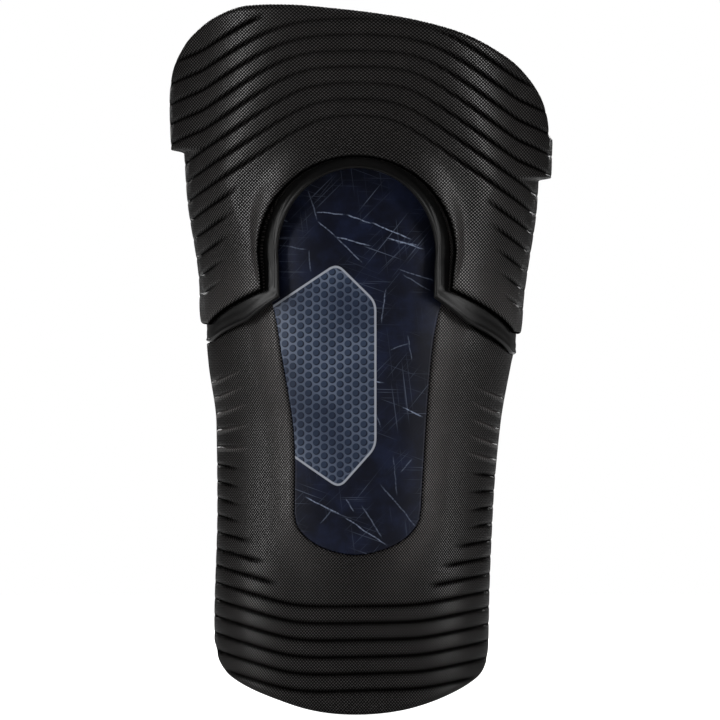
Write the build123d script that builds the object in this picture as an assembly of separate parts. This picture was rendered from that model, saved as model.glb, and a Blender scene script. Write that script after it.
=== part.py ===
from build123d import *
import math
import os

# Hockey shin guard, worn on one leg, millimetres. The leg runs along Z through the origin, the
# front of the guard faces -Y and the knee is up. The origin is the middle of the leg channel at
# the level of the guard's lower end.

# ---- driving dimensions -------------------------------------------------------------------
REAR_Y = 34.0          # how far the side wings wrap behind the leg axis
WIDEST_Y = -14.0       # where each section is widest; behind it the wings toe in
TOE_IN = 12.0          # how much each wing has closed in at its rear edge
ROUNDNESS = 2.3        # superellipse exponent of the front of a section

SHIN_FOAM = 11.0       # thickness of the lower moulded shell
KNEE_FOAM = 6.0        # thickness of the upper moulded shell
PLATE = 2.5            # thickness of the smooth knee plate
CAP = 2.5              # thickness of the hard front cap
CAP_PROUD = 1.2        # how far the cap stands in front of the shell around it
CUP_FOAM = 8.0         # thickness of the foam cup under the cap's dome
LINER = 8.0            # thickness of the padded liner
GAP = 0.3              # clearance between neighbouring layers

HINGE_Y = 12.0         # knee hinge axis, along X
HINGE_Z = 255.0
PIVOT_R = 3.0          # shaft radius of the two pivot rivets
PIVOT_CLEARANCE = 0.05

ARCH_X = 0.3           # centre of the knee arch
ARCH_Z = 268.0
ARCH_R = 49.0          # inner radius of the smooth rim around the dome
RIM_WIDTH = 8.0        # how far the smooth plate shows beyond the foam around the arch
CAP_R = 50.6           # radius of the dome part of the cap, just under the rim

STRAP_HEIGHTS = {"lower": 66.0, "upper": 146.0}
STRAP_WIDTH = 38.0
STRAP_T = 1.5
TAPE_T = 0.8           # hook tape, loop tape
STRAP_FRONT_Y = 11.0   # where the fastened strap ends on the right wing
STRAP_BACK_Y = 66.0    # how far behind the leg the straps run
LINER_REAR_Y = 15.0    # where the side pads of the liner end

# Envelopes of the two sections: height, left and right half width, depth in front of the axis.
SHIN = [
    (-6.0, 81.5, 76.0, 70.0),
    (50.0, 82.2, 76.4, 74.0),
    (120.0, 80.5, 79.3, 78.0),
    (169.0, 81.0, 83.4, 81.0),
    (204.0, 85.4, 89.6, 84.5),
    (209.0, 78.0, 83.4, 85.0),
    (262.0, 81.4, 87.2, 86.0),
    (278.0, 81.4, 87.2, 86.0),
]
KNEE = [
    (200.0, 86.5, 92.5, 91.0),
    (215.0, 87.0, 93.0, 93.0),
    (245.0, 91.3, 98.0, 100.0),
    (262.0, 92.9, 100.0, 101.0),
    (309.0, 98.2, 105.5, 101.0),
    (312.0, 98.4, 105.7, 101.0),
    (327.5, 99.3, 106.5, 100.5),
    (330.5, 99.5, 106.7, 100.5),
    (360.0, 100.5, 107.0, 99.0),
    (418.0, 100.5, 107.0, 97.0),
]
# The outer foam steps out above a notch on each side, at a different height left and right.
WING_STEP = 7.0
NOTCH_LEFT_Z = (327.5, 330.5)
NOTCH_RIGHT_Z = (309.0, 312.0)
# The front cap follows the shell, then swells into the knee dome and closes over its top.
DOME = [
    (80.0, 82.0, 78.0, 76.0),
    (120.0, 80.5, 79.3, 78.0),
    (169.0, 81.0, 83.4, 81.0),
    (203.0, 84.0, 89.0, 84.5),
    (225.0, 83.4, 88.8, 86.5),
    (243.0, 83.4, 88.8, 87.6),
    (268.0, 83.4, 88.8, 87.8),
    (280.0, 83.4, 88.8, 86.6),
    (290.0, 83.4, 88.8, 85.4),
    (305.0, 83.4, 88.8, 83.5),
    (317.0, 83.4, 88.8, 81.0),
    (332.0, 83.4, 88.8, 73.0),
]


# ---- sections and layers ------------------------------------------------------------------
def at_height(stations, z):
    """Left half width, right half width and depth at a height between two stations."""
    for low, high in zip(stations, stations[1:]):
        if z <= high[0]:
            share = (z - low[0]) / (high[0] - low[0])
            return [a + share * (b - a) for a, b in zip(low[1:], high[1:])]
    return list(stations[-1][1:])


def toe(y):
    """How far a wing has closed in at y, behind its widest place."""
    return TOE_IN * (max(0.0, y - WIDEST_Y) / (REAR_Y - WIDEST_Y)) ** 2


def wing_point(stations, side, y, z, offset):
    """A point on the wing at y behind its widest place; side is -1 for left, 1 for right."""
    left, right, _ = at_height(stations, z)
    width = left if side < 0 else right
    return Vector(side * (width - offset - toe(y)), y, z)


def section_curve(width_left, width_right, depth, z):
    """The outside of one section, from the left wing's rear edge round the front to the right."""
    rear = [REAR_Y, (REAR_Y + WIDEST_Y) / 2]
    points = [(-(width_left - toe(y)), y, z) for y in rear]
    steps = 12
    for i in range(steps + 1):
        angle = math.pi * i / steps
        across = abs(math.cos(angle)) ** (2 / ROUNDNESS)
        forward = math.sin(angle) ** (2 / ROUNDNESS) if 0 < i < steps else 0.0
        width = width_left if i < steps / 2 else -width_right
        points.append((-width * across, WIDEST_Y - (depth + WIDEST_Y) * forward, z))
    points += [(width_right - toe(y), y, z) for y in reversed(rear)]
    return Spline(*points)


def layer(outer, inner):
    """A curved slab between two lists of stations given at the same heights."""
    faces = []
    for (z, ol, orr, od), (_, il, ir, idp) in zip(outer, inner):
        outside = section_curve(ol, orr, od, z)
        inside = section_curve(il, ir, idp, z)
        left = Line(outside @ 0, inside @ 0)
        right = Line(outside @ 1, inside @ 1)
        faces.append(make_face([outside, right, inside, left]))
    return loft(faces, ruled=True)


def offset_by(stations, amount):
    """The stations moved inwards by one amount, or by an amount that depends on height."""
    moved = []
    for z, left, right, depth in stations:
        o = amount(z) if callable(amount) else amount
        moved.append((z, left - o, right - o, depth - o))
    return moved


def shell_between(stations, outside, inside):
    return layer(offset_by(stations, outside), offset_by(stations, inside))


def through(outline):
    """A front outline, drawn in X and Z, extended through the whole depth."""
    return extrude(Plane.XZ * outline, amount=200, both=True)


def block(x, y, z):
    """A box from three (low, high) pairs."""
    size = [high - low for low, high in (x, y, z)]
    centre = [(high + low) / 2 for low, high in (x, y, z)]
    return Pos(*centre) * Box(*size)


def rod(point, direction, radius, start, end):
    """A cylinder along a direction, from start to end measured from a point."""
    plane = Plane(origin=Vector(*point) + Vector(*direction).normalized() * start, z_dir=direction)
    return plane * Cylinder(radius, end - start, align=(Align.CENTER, Align.CENTER, Align.MIN))


# ---- front outlines -----------------------------------------------------------------------
def outline(*curves):
    return make_face(Curve() + list(curves))


def shin_outline():
    """Rounded lower end and straight sides of the lower shell, up to its tucked-in top."""
    top = 274.0
    ends = Spline((-84, 44), (-81, 31), (-71, 21.5), (-45, 8), (0, 0), (45, 8), (69, 21.5), (76, 31), (79, 44))
    return outline(
        ends,
        Polyline((79, 44), (110, 60), (110, top), (-110, top), (-110, 60), (-84, 44)),
    )


def arch_point(radius, angle):
    return (ARCH_X + radius * math.cos(angle), ARCH_Z + radius * math.sin(angle))


def knee_outline(radius, corner, left_end, right_end, top):
    """The upper section: its top edge, and the arch and two slants that open it below."""
    dip = -math.asin(min(1.0, (ARCH_Z - corner[1]) / radius))
    left_foot = arch_point(radius, math.pi - dip)
    right_foot = arch_point(radius, dip)
    return outline(
        ThreePointArc(left_foot, (ARCH_X, ARCH_Z + radius), right_foot),
        Polyline(right_foot, right_end, (120, right_end[1]), (120, 330), top[-1]),
        Spline(*reversed(top)),
        Polyline(top[0], (-120, 330), (-120, left_end[1]), left_end, left_foot),
    )


FOAM_TOP = [(-112, 345), (-107, 374), (-85, 403.4), (-50, 412), (8, 408), (55, 398.8), (90, 380.7), (110, 354)]
PLATE_TOP = [(-104, 340), (-98, 366), (-76, 392), (-46, 400), (8, 397), (52, 387), (84, 370), (101, 345)]
LINER_TOP = [(-98, 336), (-92, 360), (-72, 384), (-44, 392), (8, 389), (50, 379), (80, 362), (96, 340)]


def cap_outline(grow=0.0):
    """Round over the knee, tapering down the shin to a rounded tip."""
    radius = CAP_R + grow
    left = [(-50 - grow, 243), (-35.5 - grow, 160), (-35.5 - grow, 117)]
    right = [(37.5 + grow, 120), (39.5 + grow, 160), (50.6 + grow, 243)]
    tip = Spline(left[-1], (-26 - grow, 101.5 - grow), (1, 93.3 - grow), (29 + grow, 103 - grow), right[0])
    return outline(
        ThreePointArc((ARCH_X + radius, ARCH_Z), (ARCH_X, ARCH_Z + radius), (ARCH_X - radius, ARCH_Z)),
        Polyline((ARCH_X - radius, ARCH_Z), *left),
        tip,
        Polyline(*right, (ARCH_X + radius, ARCH_Z)),
    )


# ---- lower section ------------------------------------------------------------------------
def rivet_holes(centres, radius):
    holes = [rod(point, direction, radius, -40, 30) for point, direction in centres]
    return Part() + holes


def wing_normal(side, y):
    """Outward direction of the wing's surface at y."""
    slope = 2 * TOE_IN * (y - WIDEST_Y) / (REAR_Y - WIDEST_Y) ** 2
    return Vector(side, slope, 0)


ANCHOR_Y = 22.0
ANCHOR_RIVET_R = 1.6
ANCHOR_RIVETS = [
    (wing_point(SHIN, -1, ANCHOR_Y, height + step, 0), wing_normal(-1, ANCHOR_Y))
    for height in STRAP_HEIGHTS.values()
    for step in (-11.0, 11.0)
]
WALL_ALONG_NORMAL = SHIN_FOAM * math.cos(math.atan2(wing_normal(-1, ANCHOR_Y).Y, 1))
PIVOT_HOLE = rod((0, HINGE_Y, HINGE_Z), (1, 0, 0), PIVOT_R + PIVOT_CLEARANCE, -130, 130)
CUP_BASE_Z = 214.0
CUP_INSET = 3.0        # how far the cup's sides stand inside the cap's outline
EAR_BASE_Z = 246.0
EAR_R = 20.0


def shin_shell():
    """Moulded foam shell with a seat for the cap and, above, two ears that carry the pivots."""
    body = shell_between(SHIN, 0, SHIN_FOAM) & through(shin_outline())
    seat_floor = CAP - CAP_PROUD + GAP
    seat = shell_between(DOME, -12, seat_floor) & through(cap_outline(grow=0.5))
    cup_space = through(cap_outline(GAP - CUP_INSET)) & block((-70, 70), (-120, 0), (CUP_BASE_Z, 330))
    ear_trim = block((-130, 130), (-120, 60), (EAR_BASE_Z, 300))
    ear_trim -= rod((0, HINGE_Y, HINGE_Z), (1, 0, 0), EAR_R, -130, 130)
    body = body - seat - cup_space - ear_trim - PIVOT_HOLE
    return body - rivet_holes(ANCHOR_RIVETS, ANCHOR_RIVET_R)


def shin_cap():
    return shell_between(DOME, -CAP_PROUD, CAP - CAP_PROUD) & through(cap_outline())


def knee_cup_foam():
    """Foam that fills the dome of the cap and sits between the two ears of the shell."""
    outside = CAP - CAP_PROUD + GAP
    cup = shell_between(DOME, outside, outside + CUP_FOAM)
    return cup & through(cap_outline(-CUP_INSET)) & block((-70, 70), (-120, 0), (CUP_BASE_Z + GAP, 312))


def shin_liner(x_low, x_high, y_high):
    inner = SHIN_FOAM + 1.2
    pad = shell_between(SHIN, inner, inner + LINER)
    return pad & block((x_low, x_high), (-120, y_high), (16, 206))


def shin_hook_tabs():
    """Hook tape squares that hold the lower liner in the shell."""
    tape = shell_between(SHIN, SHIN_FOAM + 0.1, SHIN_FOAM + 1.1)
    places = [block((x - 14, x + 14), (-120, -20), (z - 12, z + 12)) for x in (-34, 34) for z in (40, 110, 180)]
    return tape & (Part() + places)


def strap_anchor(height):
    patch = shell_between(SHIN, -0.1 - STRAP_T, -0.1)
    area = block((-120, 0), (12, 33), (height - STRAP_WIDTH / 2, height + STRAP_WIDTH / 2))
    return (patch & area) - rivet_holes(ANCHOR_RIVETS, ANCHOR_RIVET_R)


def anchor_rivets():
    """Tubular rivets that pin the two strap anchors through the left wing."""
    rivets = []
    head_base = 0.1 + STRAP_T + 0.1
    for point, direction in ANCHOR_RIVETS:
        tail_base = -WALL_ALONG_NORMAL - 0.3
        shaft = rod(point, direction, ANCHOR_RIVET_R - 0.05, tail_base, head_base)
        head = rod(point, direction, 4.2, head_base, head_base + 0.8)
        tail = rod(point, direction, 3.6, tail_base - 0.7, tail_base)
        rivets.append(shaft + head + tail)
    return Part() + rivets


def loop_patch(height):
    tape = shell_between(SHIN, -0.1 - TAPE_T, -0.1)
    return tape & block((0, 120), (STRAP_FRONT_Y, 32), (height - 21, height + 21))


# ---- straps -------------------------------------------------------------------------------
STRAP_HINGE_Y = REAR_Y + 2.5


def strap_hinge(height):
    """Where a strap turns, at the rear edge of the left wing."""
    edge = wing_point(SHIN, -1, REAR_Y, height, -0.8)
    return Vector(edge.X - 0.4, STRAP_HINGE_Y, height)


def strap_line(height, z):
    """Centre line of a fastened strap at z, from its hinge round the back to the right wing."""
    start = strap_hinge(height)
    lift = 0.1 + TAPE_T + 0.3 + TAPE_T + 0.1 + STRAP_T / 2
    on_wing = [wing_point(SHIN, 1, y, z, -lift) for y in (REAR_Y, 28, 22, 16, STRAP_FRONT_Y)]
    behind = [(-62, 48.5), (-36, 62), (0, STRAP_BACK_Y), (36, 62), (60, 49)]
    around = [Vector(x, y, z) for x, y in behind]
    return Spline(Vector(start.X, start.Y + 0.6, z), *around, *on_wing)


def band(height, inside, outside, start, end, width):
    """A strip of a strap, between two distances from its centre line on its outer side."""
    steps = 20
    spots = [start + (end - start) * i / steps for i in range(steps + 1)]
    faces = []
    for z in (height - width / 2, height, height + width / 2):
        line = strap_line(height, z)
        tangents = [line % u for u in spots]
        aside = [Vector(-t.Y, t.X, 0).normalized() for t in tangents]
        outer = Spline(*[line @ u + n * outside for u, n in zip(spots, aside)])
        inner = Spline(*[line @ u + n * inside for u, n in zip(spots, aside)])
        faces.append(make_face([outer, Line(outer @ 1, inner @ 1), inner, Line(inner @ 0, outer @ 0)]))
    return loft(faces, ruled=True)


WING_SHARE = 0.885     # share of the strap's line that lies behind the right wing's rear edge


def strap_elastic(height):
    return band(height, -STRAP_T / 2, STRAP_T / 2, 0.0, 0.995, STRAP_WIDTH)


def strap_hook(height):
    """Hook tape sewn to the strap's inner face where it lies on the wing."""
    inner = -STRAP_T / 2 - 0.1
    return band(height, inner - TAPE_T, inner, WING_SHARE, 0.985, STRAP_WIDTH - 6)


def strap_pull(height):
    """Soft pull tab sewn on the outside of the strap's free end."""
    base = STRAP_T / 2 + 0.15
    return band(height, base, base + 1.0, 0.93, 0.99, STRAP_WIDTH - 12)


# ---- upper section ------------------------------------------------------------------------
def knee_outer():
    """Outside of the upper foam, stepped out above the two notches."""
    stepped = []
    for z, left, right, depth in KNEE:
        left += WING_STEP if z >= NOTCH_LEFT_Z[1] else 0
        right += WING_STEP if z >= NOTCH_RIGHT_Z[1] else 0
        stepped.append((z, left, right, depth))
    return stepped


def plate_offset(z):
    """The plate is close to the outside at the break and sits under the foam higher up."""
    low_z, high_z, low, high = 215.0, 262.0, 1.5, KNEE_FOAM + GAP
    share = min(1.0, max(0.0, (z - low_z) / (high_z - low_z)))
    return low + share * (high - low)


def rear_corner_trim():
    """Wedge that takes the lower rear corners off the upper section, so that it can tip back."""
    side = Plane.YZ * make_face(Polyline((4, 200), (40, 230), (40, 190), (4, 190), (4, 200)))
    return extrude(side, amount=140, both=True)


def knee_shell():
    body = layer(knee_outer(), offset_by(KNEE, lambda z: plate_offset(z) - GAP))
    body &= through(knee_outline(ARCH_R + RIM_WIDTH, (0, 246.6), (-87, 227), (94, 221.5), FOAM_TOP))
    body -= rear_corner_trim()
    return body - rod((0, HINGE_Y, HINGE_Z), (1, 0, 0), 8.5, -130, 130)


def knee_plate():
    body = shell_between(KNEE, plate_offset, lambda z: plate_offset(z) + PLATE)
    body &= through(knee_outline(ARCH_R, (0, 242.5), (-86, 216.5), (92, 209.0), PLATE_TOP))
    body -= rear_corner_trim()
    return body - rod((0, HINGE_Y, HINGE_Z), (1, 0, 0), PIVOT_R + 0.02, -130, 130)


def knee_liner(side):
    """One pad of the upper liner: the middle one over the thigh, or a side one down to the knee."""
    inner = KNEE_FOAM + GAP + PLATE + 1.2
    pad = shell_between(KNEE, inner, inner + LINER) & through(outline(
        Spline(*LINER_TOP),
        Polyline(LINER_TOP[-1], (120, 340), (120, 280), (-120, 280), (-120, 336), LINER_TOP[0]),
    ))
    if side == 0:
        return pad & block((-38, 38), (-120, 0), (330, 420))
    beside_thigh = block((41, 130), (-120, LINER_REAR_Y), (325, 420))
    beside_knee = block((60, 130), (-120, LINER_REAR_Y), (282, 325))
    return pad & (beside_thigh + beside_knee if side > 0 else mirror(beside_thigh + beside_knee, Plane.YZ))


def knee_hook_tabs():
    inner = KNEE_FOAM + GAP + PLATE + 0.1
    tape = shell_between(KNEE, inner, inner + 1.0)
    places = [block((x - 14, x + 14), (-120, -20), (342, 366)) for x in (-56, 0, 56)]
    return tape & (Part() + places)


def pivot_rivet(side):
    """Rivet through the knee plate and the ear of the lower shell, free to turn in the ear."""
    plate_face = wing_point(KNEE, side, HINGE_Y, HINGE_Z, plate_offset(HINGE_Z)).X * side
    ear_inside = wing_point(SHIN, side, HINGE_Y, HINGE_Z, SHIN_FOAM).X * side
    direction = (side, 0, 0)
    axis = (0, HINGE_Y, HINGE_Z)
    shaft = rod(axis, direction, PIVOT_R, ear_inside - 5.5, plate_face + 2.6)
    head = rod(axis, direction, 7.0, plate_face + 2.6, plate_face + 3.8)
    head = chamfer(head.edges().sort_by(Axis.X)[-1 if side > 0 else 0], 0.6)
    tail = rod(axis, direction, 5.0, ear_inside - 6.5, ear_inside - 5.5)
    return shaft + head + tail


def pivot_washer(side):
    """Washer on the shaft between the ear and the rivet's tail."""
    ear_inside = wing_point(SHIN, side, HINGE_Y, HINGE_Z, SHIN_FOAM).X * side
    axis = (0, HINGE_Y, HINGE_Z)
    disc = rod(axis, (side, 0, 0), 9.0, ear_inside - 4.6, ear_inside - 3.0)
    return disc - PIVOT_HOLE


# ---- write one file per piece -------------------------------------------------------------
nodes = {
    "shin_shell": shin_shell(),
    "shin_cap": shin_cap(),
    "knee_cup_foam": knee_cup_foam(),
    "shin_liner_centre": shin_liner(-33, 33, 0),
    "shin_liner_left": shin_liner(-120, -36, LINER_REAR_Y),
    "shin_liner_right": shin_liner(36, 120, LINER_REAR_Y),
    "shin_hook_tabs": shin_hook_tabs(),
    "anchor_rivets": anchor_rivets(),
    "knee_shell": knee_shell(),
    "knee_plate": knee_plate(),
    "knee_liner_centre": knee_liner(0),
    "knee_liner_left": knee_liner(-1),
    "knee_liner_right": knee_liner(1),
    "knee_hook_tabs": knee_hook_tabs(),
    "pivot_rivet_left": pivot_rivet(-1),
    "pivot_rivet_right": pivot_rivet(1),
    "pivot_washer_left": pivot_washer(-1),
    "pivot_washer_right": pivot_washer(1),
}
for name, height in STRAP_HEIGHTS.items():
    nodes[f"strap_anchor_{name}"] = strap_anchor(height)
    nodes[f"loop_patch_{name}"] = loop_patch(height)
    nodes[f"strap_elastic_{name}"] = strap_elastic(height)
    nodes[f"strap_hook_{name}"] = strap_hook(height)
    nodes[f"strap_pull_{name}"] = strap_pull(height)

os.makedirs("parts", exist_ok=True)
for name, shape in nodes.items():
    export_step(shape, f"parts/{name}.step")
for name in STRAP_HEIGHTS:
    hinge = strap_hinge(STRAP_HEIGHTS[name])
    print(f"strap_{name} hinge at x {hinge.X:.2f}, y {hinge.Y:.2f}")
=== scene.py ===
import bmesh
import bpy
import math
import numpy as np
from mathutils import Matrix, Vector


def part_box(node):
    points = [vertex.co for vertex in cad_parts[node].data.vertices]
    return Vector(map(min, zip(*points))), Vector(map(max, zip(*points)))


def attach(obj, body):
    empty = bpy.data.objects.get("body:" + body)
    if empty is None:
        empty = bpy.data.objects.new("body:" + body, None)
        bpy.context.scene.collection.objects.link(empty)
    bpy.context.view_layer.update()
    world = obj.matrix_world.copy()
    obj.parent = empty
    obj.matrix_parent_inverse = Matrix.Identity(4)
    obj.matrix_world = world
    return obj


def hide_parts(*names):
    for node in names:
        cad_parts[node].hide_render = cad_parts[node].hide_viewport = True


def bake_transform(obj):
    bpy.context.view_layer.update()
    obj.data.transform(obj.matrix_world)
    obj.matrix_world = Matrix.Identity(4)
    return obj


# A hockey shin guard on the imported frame. Lengths in this file are millimetres until a mesh is
# made: X runs across, -Y is the front, Z runs up the leg.

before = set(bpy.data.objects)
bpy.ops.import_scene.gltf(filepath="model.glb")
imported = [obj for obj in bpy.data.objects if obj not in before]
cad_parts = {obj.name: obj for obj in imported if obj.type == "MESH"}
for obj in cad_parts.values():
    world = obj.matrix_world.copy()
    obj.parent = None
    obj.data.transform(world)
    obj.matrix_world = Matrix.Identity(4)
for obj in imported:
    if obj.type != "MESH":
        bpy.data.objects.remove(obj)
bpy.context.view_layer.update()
MM = 0.001

# ---- driving dimensions, as in the CAD ------------------------------------------------------
REAR_Y = 34.0              # rear edges of both sections
WIDEST_Y = -14.0           # where a section is widest
TOE_IN = 12.0              # how far the rear edges turn in
ROUNDNESS = 2.3            # power of the section's curve, where 2 is an ellipse
SHIN_FOAM = 11.0           # thickness of the lower shell
KNEE_FOAM = 6.0            # thickness of the foam over the knee plate
PLATE = 2.5                # thickness of the knee plate
CAP_PROUD = 1.2            # how far the cap stands out of the lower section
GAP = 0.3                  # room between the knee foam and the plate
HINGE_Y, HINGE_Z = 12.0, 255.0     # axis of the knee hinge, which runs along X
ARCH_X, ARCH_Z = 0.3, 268.0        # centre of the round top of the knee

# Envelopes: height, left and right half width, depth in front of the leg axis.
SHIN = np.array([
    (-6.0, 82.6, 78.2, 70.0),
    (50.0, 83.7, 78.4, 74.0),
    (120.0, 81.9, 80.9, 78.0),
    (169.0, 82.4, 85.2, 81.0),
    (204.0, 87.0, 91.4, 84.5),
    (216.0, 88.0, 93.8, 85.2),
    (278.0, 89.6, 95.8, 86.0),
])
KNEE = np.array([
    (200.0, 87.8, 93.8, 91.0),
    (215.0, 88.9, 95.4, 93.0),
    (245.0, 93.9, 101.2, 100.0),
    (262.0, 95.4, 103.2, 101.0),
    (311.0, 100.2, 107.3, 101.0),
    (360.0, 102.4, 108.4, 99.0),
    (418.0, 102.8, 108.6, 97.0),
])
DOME = np.array([
    (80.0, 82.0, 78.0, 76.0),
    (120.0, 80.5, 79.3, 78.0),
    (169.0, 81.0, 83.4, 81.0),
    (203.0, 84.0, 89.0, 84.5),
    (225.0, 83.4, 88.8, 86.5),
    (243.0, 83.4, 88.8, 87.6),
    (268.0, 83.4, 88.8, 87.8),
    (290.0, 83.4, 88.8, 85.4),
    (317.0, 83.4, 88.8, 81.0),
    (332.0, 83.4, 88.8, 73.0),
])
WING_STEP = 7.5            # extra width of the upper wings
NOTCH_LEFT_Z = 328.5
NOTCH_RIGHT_Z = 312.0


# ---- small numeric helpers ------------------------------------------------------------------
def smoothstep(low, high, value):
    t = np.clip((value - low) / (high - low), 0, 1)
    return t * t * (3 - 2 * t)


def softplus(value, width):
    return width * np.logaddexp(0, value / width)


def sigmoid(value):
    return 1 / (1 + np.exp(-value))


def bell(value, width):
    return np.exp(-((value / width) ** 2))


def monotone(xs, ys, x):
    """Smooth curve through stations, with no overshoot between them."""
    h = np.diff(xs)
    slope = np.diff(ys) / h
    same_way = slope[:-1] * slope[1:] > 0
    total = np.where(same_way, slope[:-1] + slope[1:], 1)
    inner = np.where(same_way, 2 * slope[:-1] * slope[1:] / total, 0)
    tangent = np.concatenate([[slope[0]], inner, [slope[-1]]])
    x = np.clip(x, xs[0], xs[-1])
    i = np.clip(np.searchsorted(xs, x) - 1, 0, len(h) - 1)
    t = (x - xs[i]) / h[i]
    start = (1 + 2 * t) * (1 - t) ** 2 * ys[i] + t * (1 - t) ** 2 * h[i] * tangent[i]
    return start + t * t * (3 - 2 * t) * ys[i + 1] + t * t * (t - 1) * h[i] * tangent[i + 1]


def envelope(table, z):
    return [monotone(table[:, 0], table[:, k], z) for k in (1, 2, 3)]


def distances_along(points):
    """How far along a path each of its points is."""
    return np.concatenate([[0], np.cumsum(np.linalg.norm(np.diff(points, axis=0), axis=1))])


def points_at(spots, points, run):
    """The places on a path at these distances along it."""
    return np.stack([np.interp(spots, run, column) for column in points.T], axis=1)


def resample(points, count):
    """A path's points, evenly spaced along it."""
    points = np.asarray(points, float)
    run = distances_along(points)
    return points_at(np.linspace(0, run[-1], count), points, run)


def smooth_path(points, count):
    """A Catmull-Rom curve through a few points, evenly spaced along it."""
    p = np.asarray(points, float)
    p = np.vstack([2 * p[0] - p[1], p, 2 * p[-1] - p[-2]])
    t = np.linspace(0, 1, 24, endpoint=False)[:, None]
    runs = []
    for a, b, c, d in zip(p, p[1:], p[2:], p[3:]):
        square, cube = 2 * a - 5 * b + 4 * c - d, 3 * b - a - 3 * c + d
        runs.append(0.5 * (2 * b + (c - a) * t + square * t ** 2 + cube * t ** 3))
    runs.append(p[-2:-1])
    return resample(np.vstack(runs), count)


def distance_to(path, x, z, closed=False):
    """Distance from points to a path of straight pieces, in the plane they are given in."""
    path = np.asarray(path, float)
    ends = np.roll(path, -1, axis=0) if closed else path[1:]
    starts = path if closed else path[:-1]
    best = np.full(np.shape(x), 1e9)
    for (ax, az), (bx, bz) in zip(starts, ends):
        length = (bx - ax) ** 2 + (bz - az) ** 2 + 1e-12
        t = np.clip(((x - ax) * (bx - ax) + (z - az) * (bz - az)) / length, 0, 1)
        best = np.minimum(best, np.hypot(x - ax - t * (bx - ax), z - az - t * (bz - az)))
    return best


def inside(path, x, z):
    """Whether points lie inside a closed path."""
    result = np.zeros(np.shape(x), bool)
    for (ax, az), (bx, bz) in zip(path, np.roll(path, -1, axis=0)):
        if az != bz:
            crosses = (az > z) != (bz > z)
            result ^= crosses & (x < (bx - ax) * (z - az) / (bz - az) + ax)
    return result


# ---- the section: lateral arc length to a place on the body ---------------------------------
def reference_half():
    """Right half of a section of 88 mm half width and depth, from the front to the rear edge."""
    size = 88.0
    angle = np.linspace(math.pi / 2, 0, 600)
    across = np.cos(angle) ** (2 / ROUNDNESS)
    forward = np.sin(angle) ** (2 / ROUNDNESS)
    across[0], forward[-1] = 0, 0
    rear = np.linspace(0, REAR_Y - WIDEST_Y, 80)[1:]
    across = np.concatenate([across, np.ones(len(rear))])
    forward = np.concatenate([forward, np.zeros(len(rear))])
    behind = np.concatenate([np.zeros(len(angle)), rear])
    x = size * across
    y = WIDEST_Y - (size + WIDEST_Y) * forward + behind
    arc = np.concatenate([[0], np.cumsum(np.hypot(np.diff(x), np.diff(y)))])
    return arc, across, forward, behind


ARC, ACROSS, FORWARD, BEHIND = reference_half()
HALF = ARC[-1]                                  # arc length from the front to a rear edge
SIDE = ARC[np.argmax(ACROSS >= 1)]              # arc length from the front to the widest place


def toe(behind):
    """How far a wing turns in, by the distance behind the widest place."""
    return TOE_IN * (behind / (REAR_Y - WIDEST_Y)) ** 2


def place(table, s, z, inward=0.0, widen=0.0):
    """Points on a section surface at arc length s and height z, moved in by inward."""
    left, right, depth = envelope(table, z)
    a = np.abs(s)
    across, forward, behind = (np.interp(a, ARC, k) for k in (ACROSS, FORWARD, BEHIND))
    width = np.where(s < 0, left, right) - inward + widen
    x = np.where(s < 0, -1, 1) * (width * across - toe(behind))
    y = WIDEST_Y - (depth - inward + WIDEST_Y) * forward + behind
    return np.stack([x, y, z + 0 * x], axis=-1)


def arc_at(table, x, z):
    """Arc length of the place that shows at x from the front."""
    left, right, _ = envelope(table, z)
    share = np.clip(np.abs(x) / np.where(x < 0, left, right), 0, 1)
    return np.where(x < 0, -1, 1) * np.interp(share, ACROSS[ARC <= SIDE], ARC[ARC <= SIDE])


def front_x(table, s, z):
    """x from the front, carried on a little way round the sides."""
    left, right, _ = envelope(table, z)
    a = np.abs(s)
    width = np.where(s < 0, left, right)
    return np.where(s < 0, -1, 1) * (width * np.interp(a, ARC, ACROSS) + 0.35 * np.interp(a, ARC, BEHIND))


def to_domain(table, path):
    """A path drawn from the front, in x and z, as arc length and z."""
    path = np.asarray(path, float)
    return np.stack([arc_at(table, path[:, 0], path[:, 1]), path[:, 1]], axis=1)


# ---- meshes -----------------------------------------------------------------------------------
def plan_layer(mesh, uv):
    """Writes one plan coordinate per vertex to every corner of the mesh."""
    layer = mesh.uv_layers.get("plan") or mesh.uv_layers.new(name="plan")
    index = np.empty(len(mesh.loops), np.int32)
    mesh.loops.foreach_get("vertex_index", index)
    layer.data.foreach_set("uv", np.asarray(uv, np.float32)[index].ravel())


def new_object(name, verts, faces, uv=None, attributes=None):
    """A smooth-shaded object from points in millimetres, with all its faces turned outwards."""
    mesh = bpy.data.meshes.new(name)
    mesh.from_pydata((np.asarray(verts) * MM).tolist(), [], [list(map(int, f)) for f in faces])
    mesh.validate()
    if uv is not None:
        plan_layer(mesh, uv)
    for key, values in (attributes or {}).items():
        attribute = mesh.attributes.new(key, "FLOAT", "POINT")
        attribute.data.foreach_set("value", np.asarray(values, np.float32))
    obj = bpy.data.objects.new(name, mesh)
    bpy.context.scene.collection.objects.link(obj)
    bm = bmesh.new()
    bm.from_mesh(mesh)
    bmesh.ops.recalc_face_normals(bm, faces=bm.faces)
    bm.to_mesh(mesh)
    bm.free()
    mesh.polygons.foreach_set("use_smooth", np.ones(len(mesh.polygons), bool))
    return obj


def grid_faces(columns, rows, start=0):
    i, j = np.meshgrid(np.arange(columns - 1), np.arange(rows - 1), indexing="ij")
    a = start + i * rows + j
    return np.stack([a, a + rows, a + rows + 1, a + 1], axis=-1).reshape(-1, 4).tolist()


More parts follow.
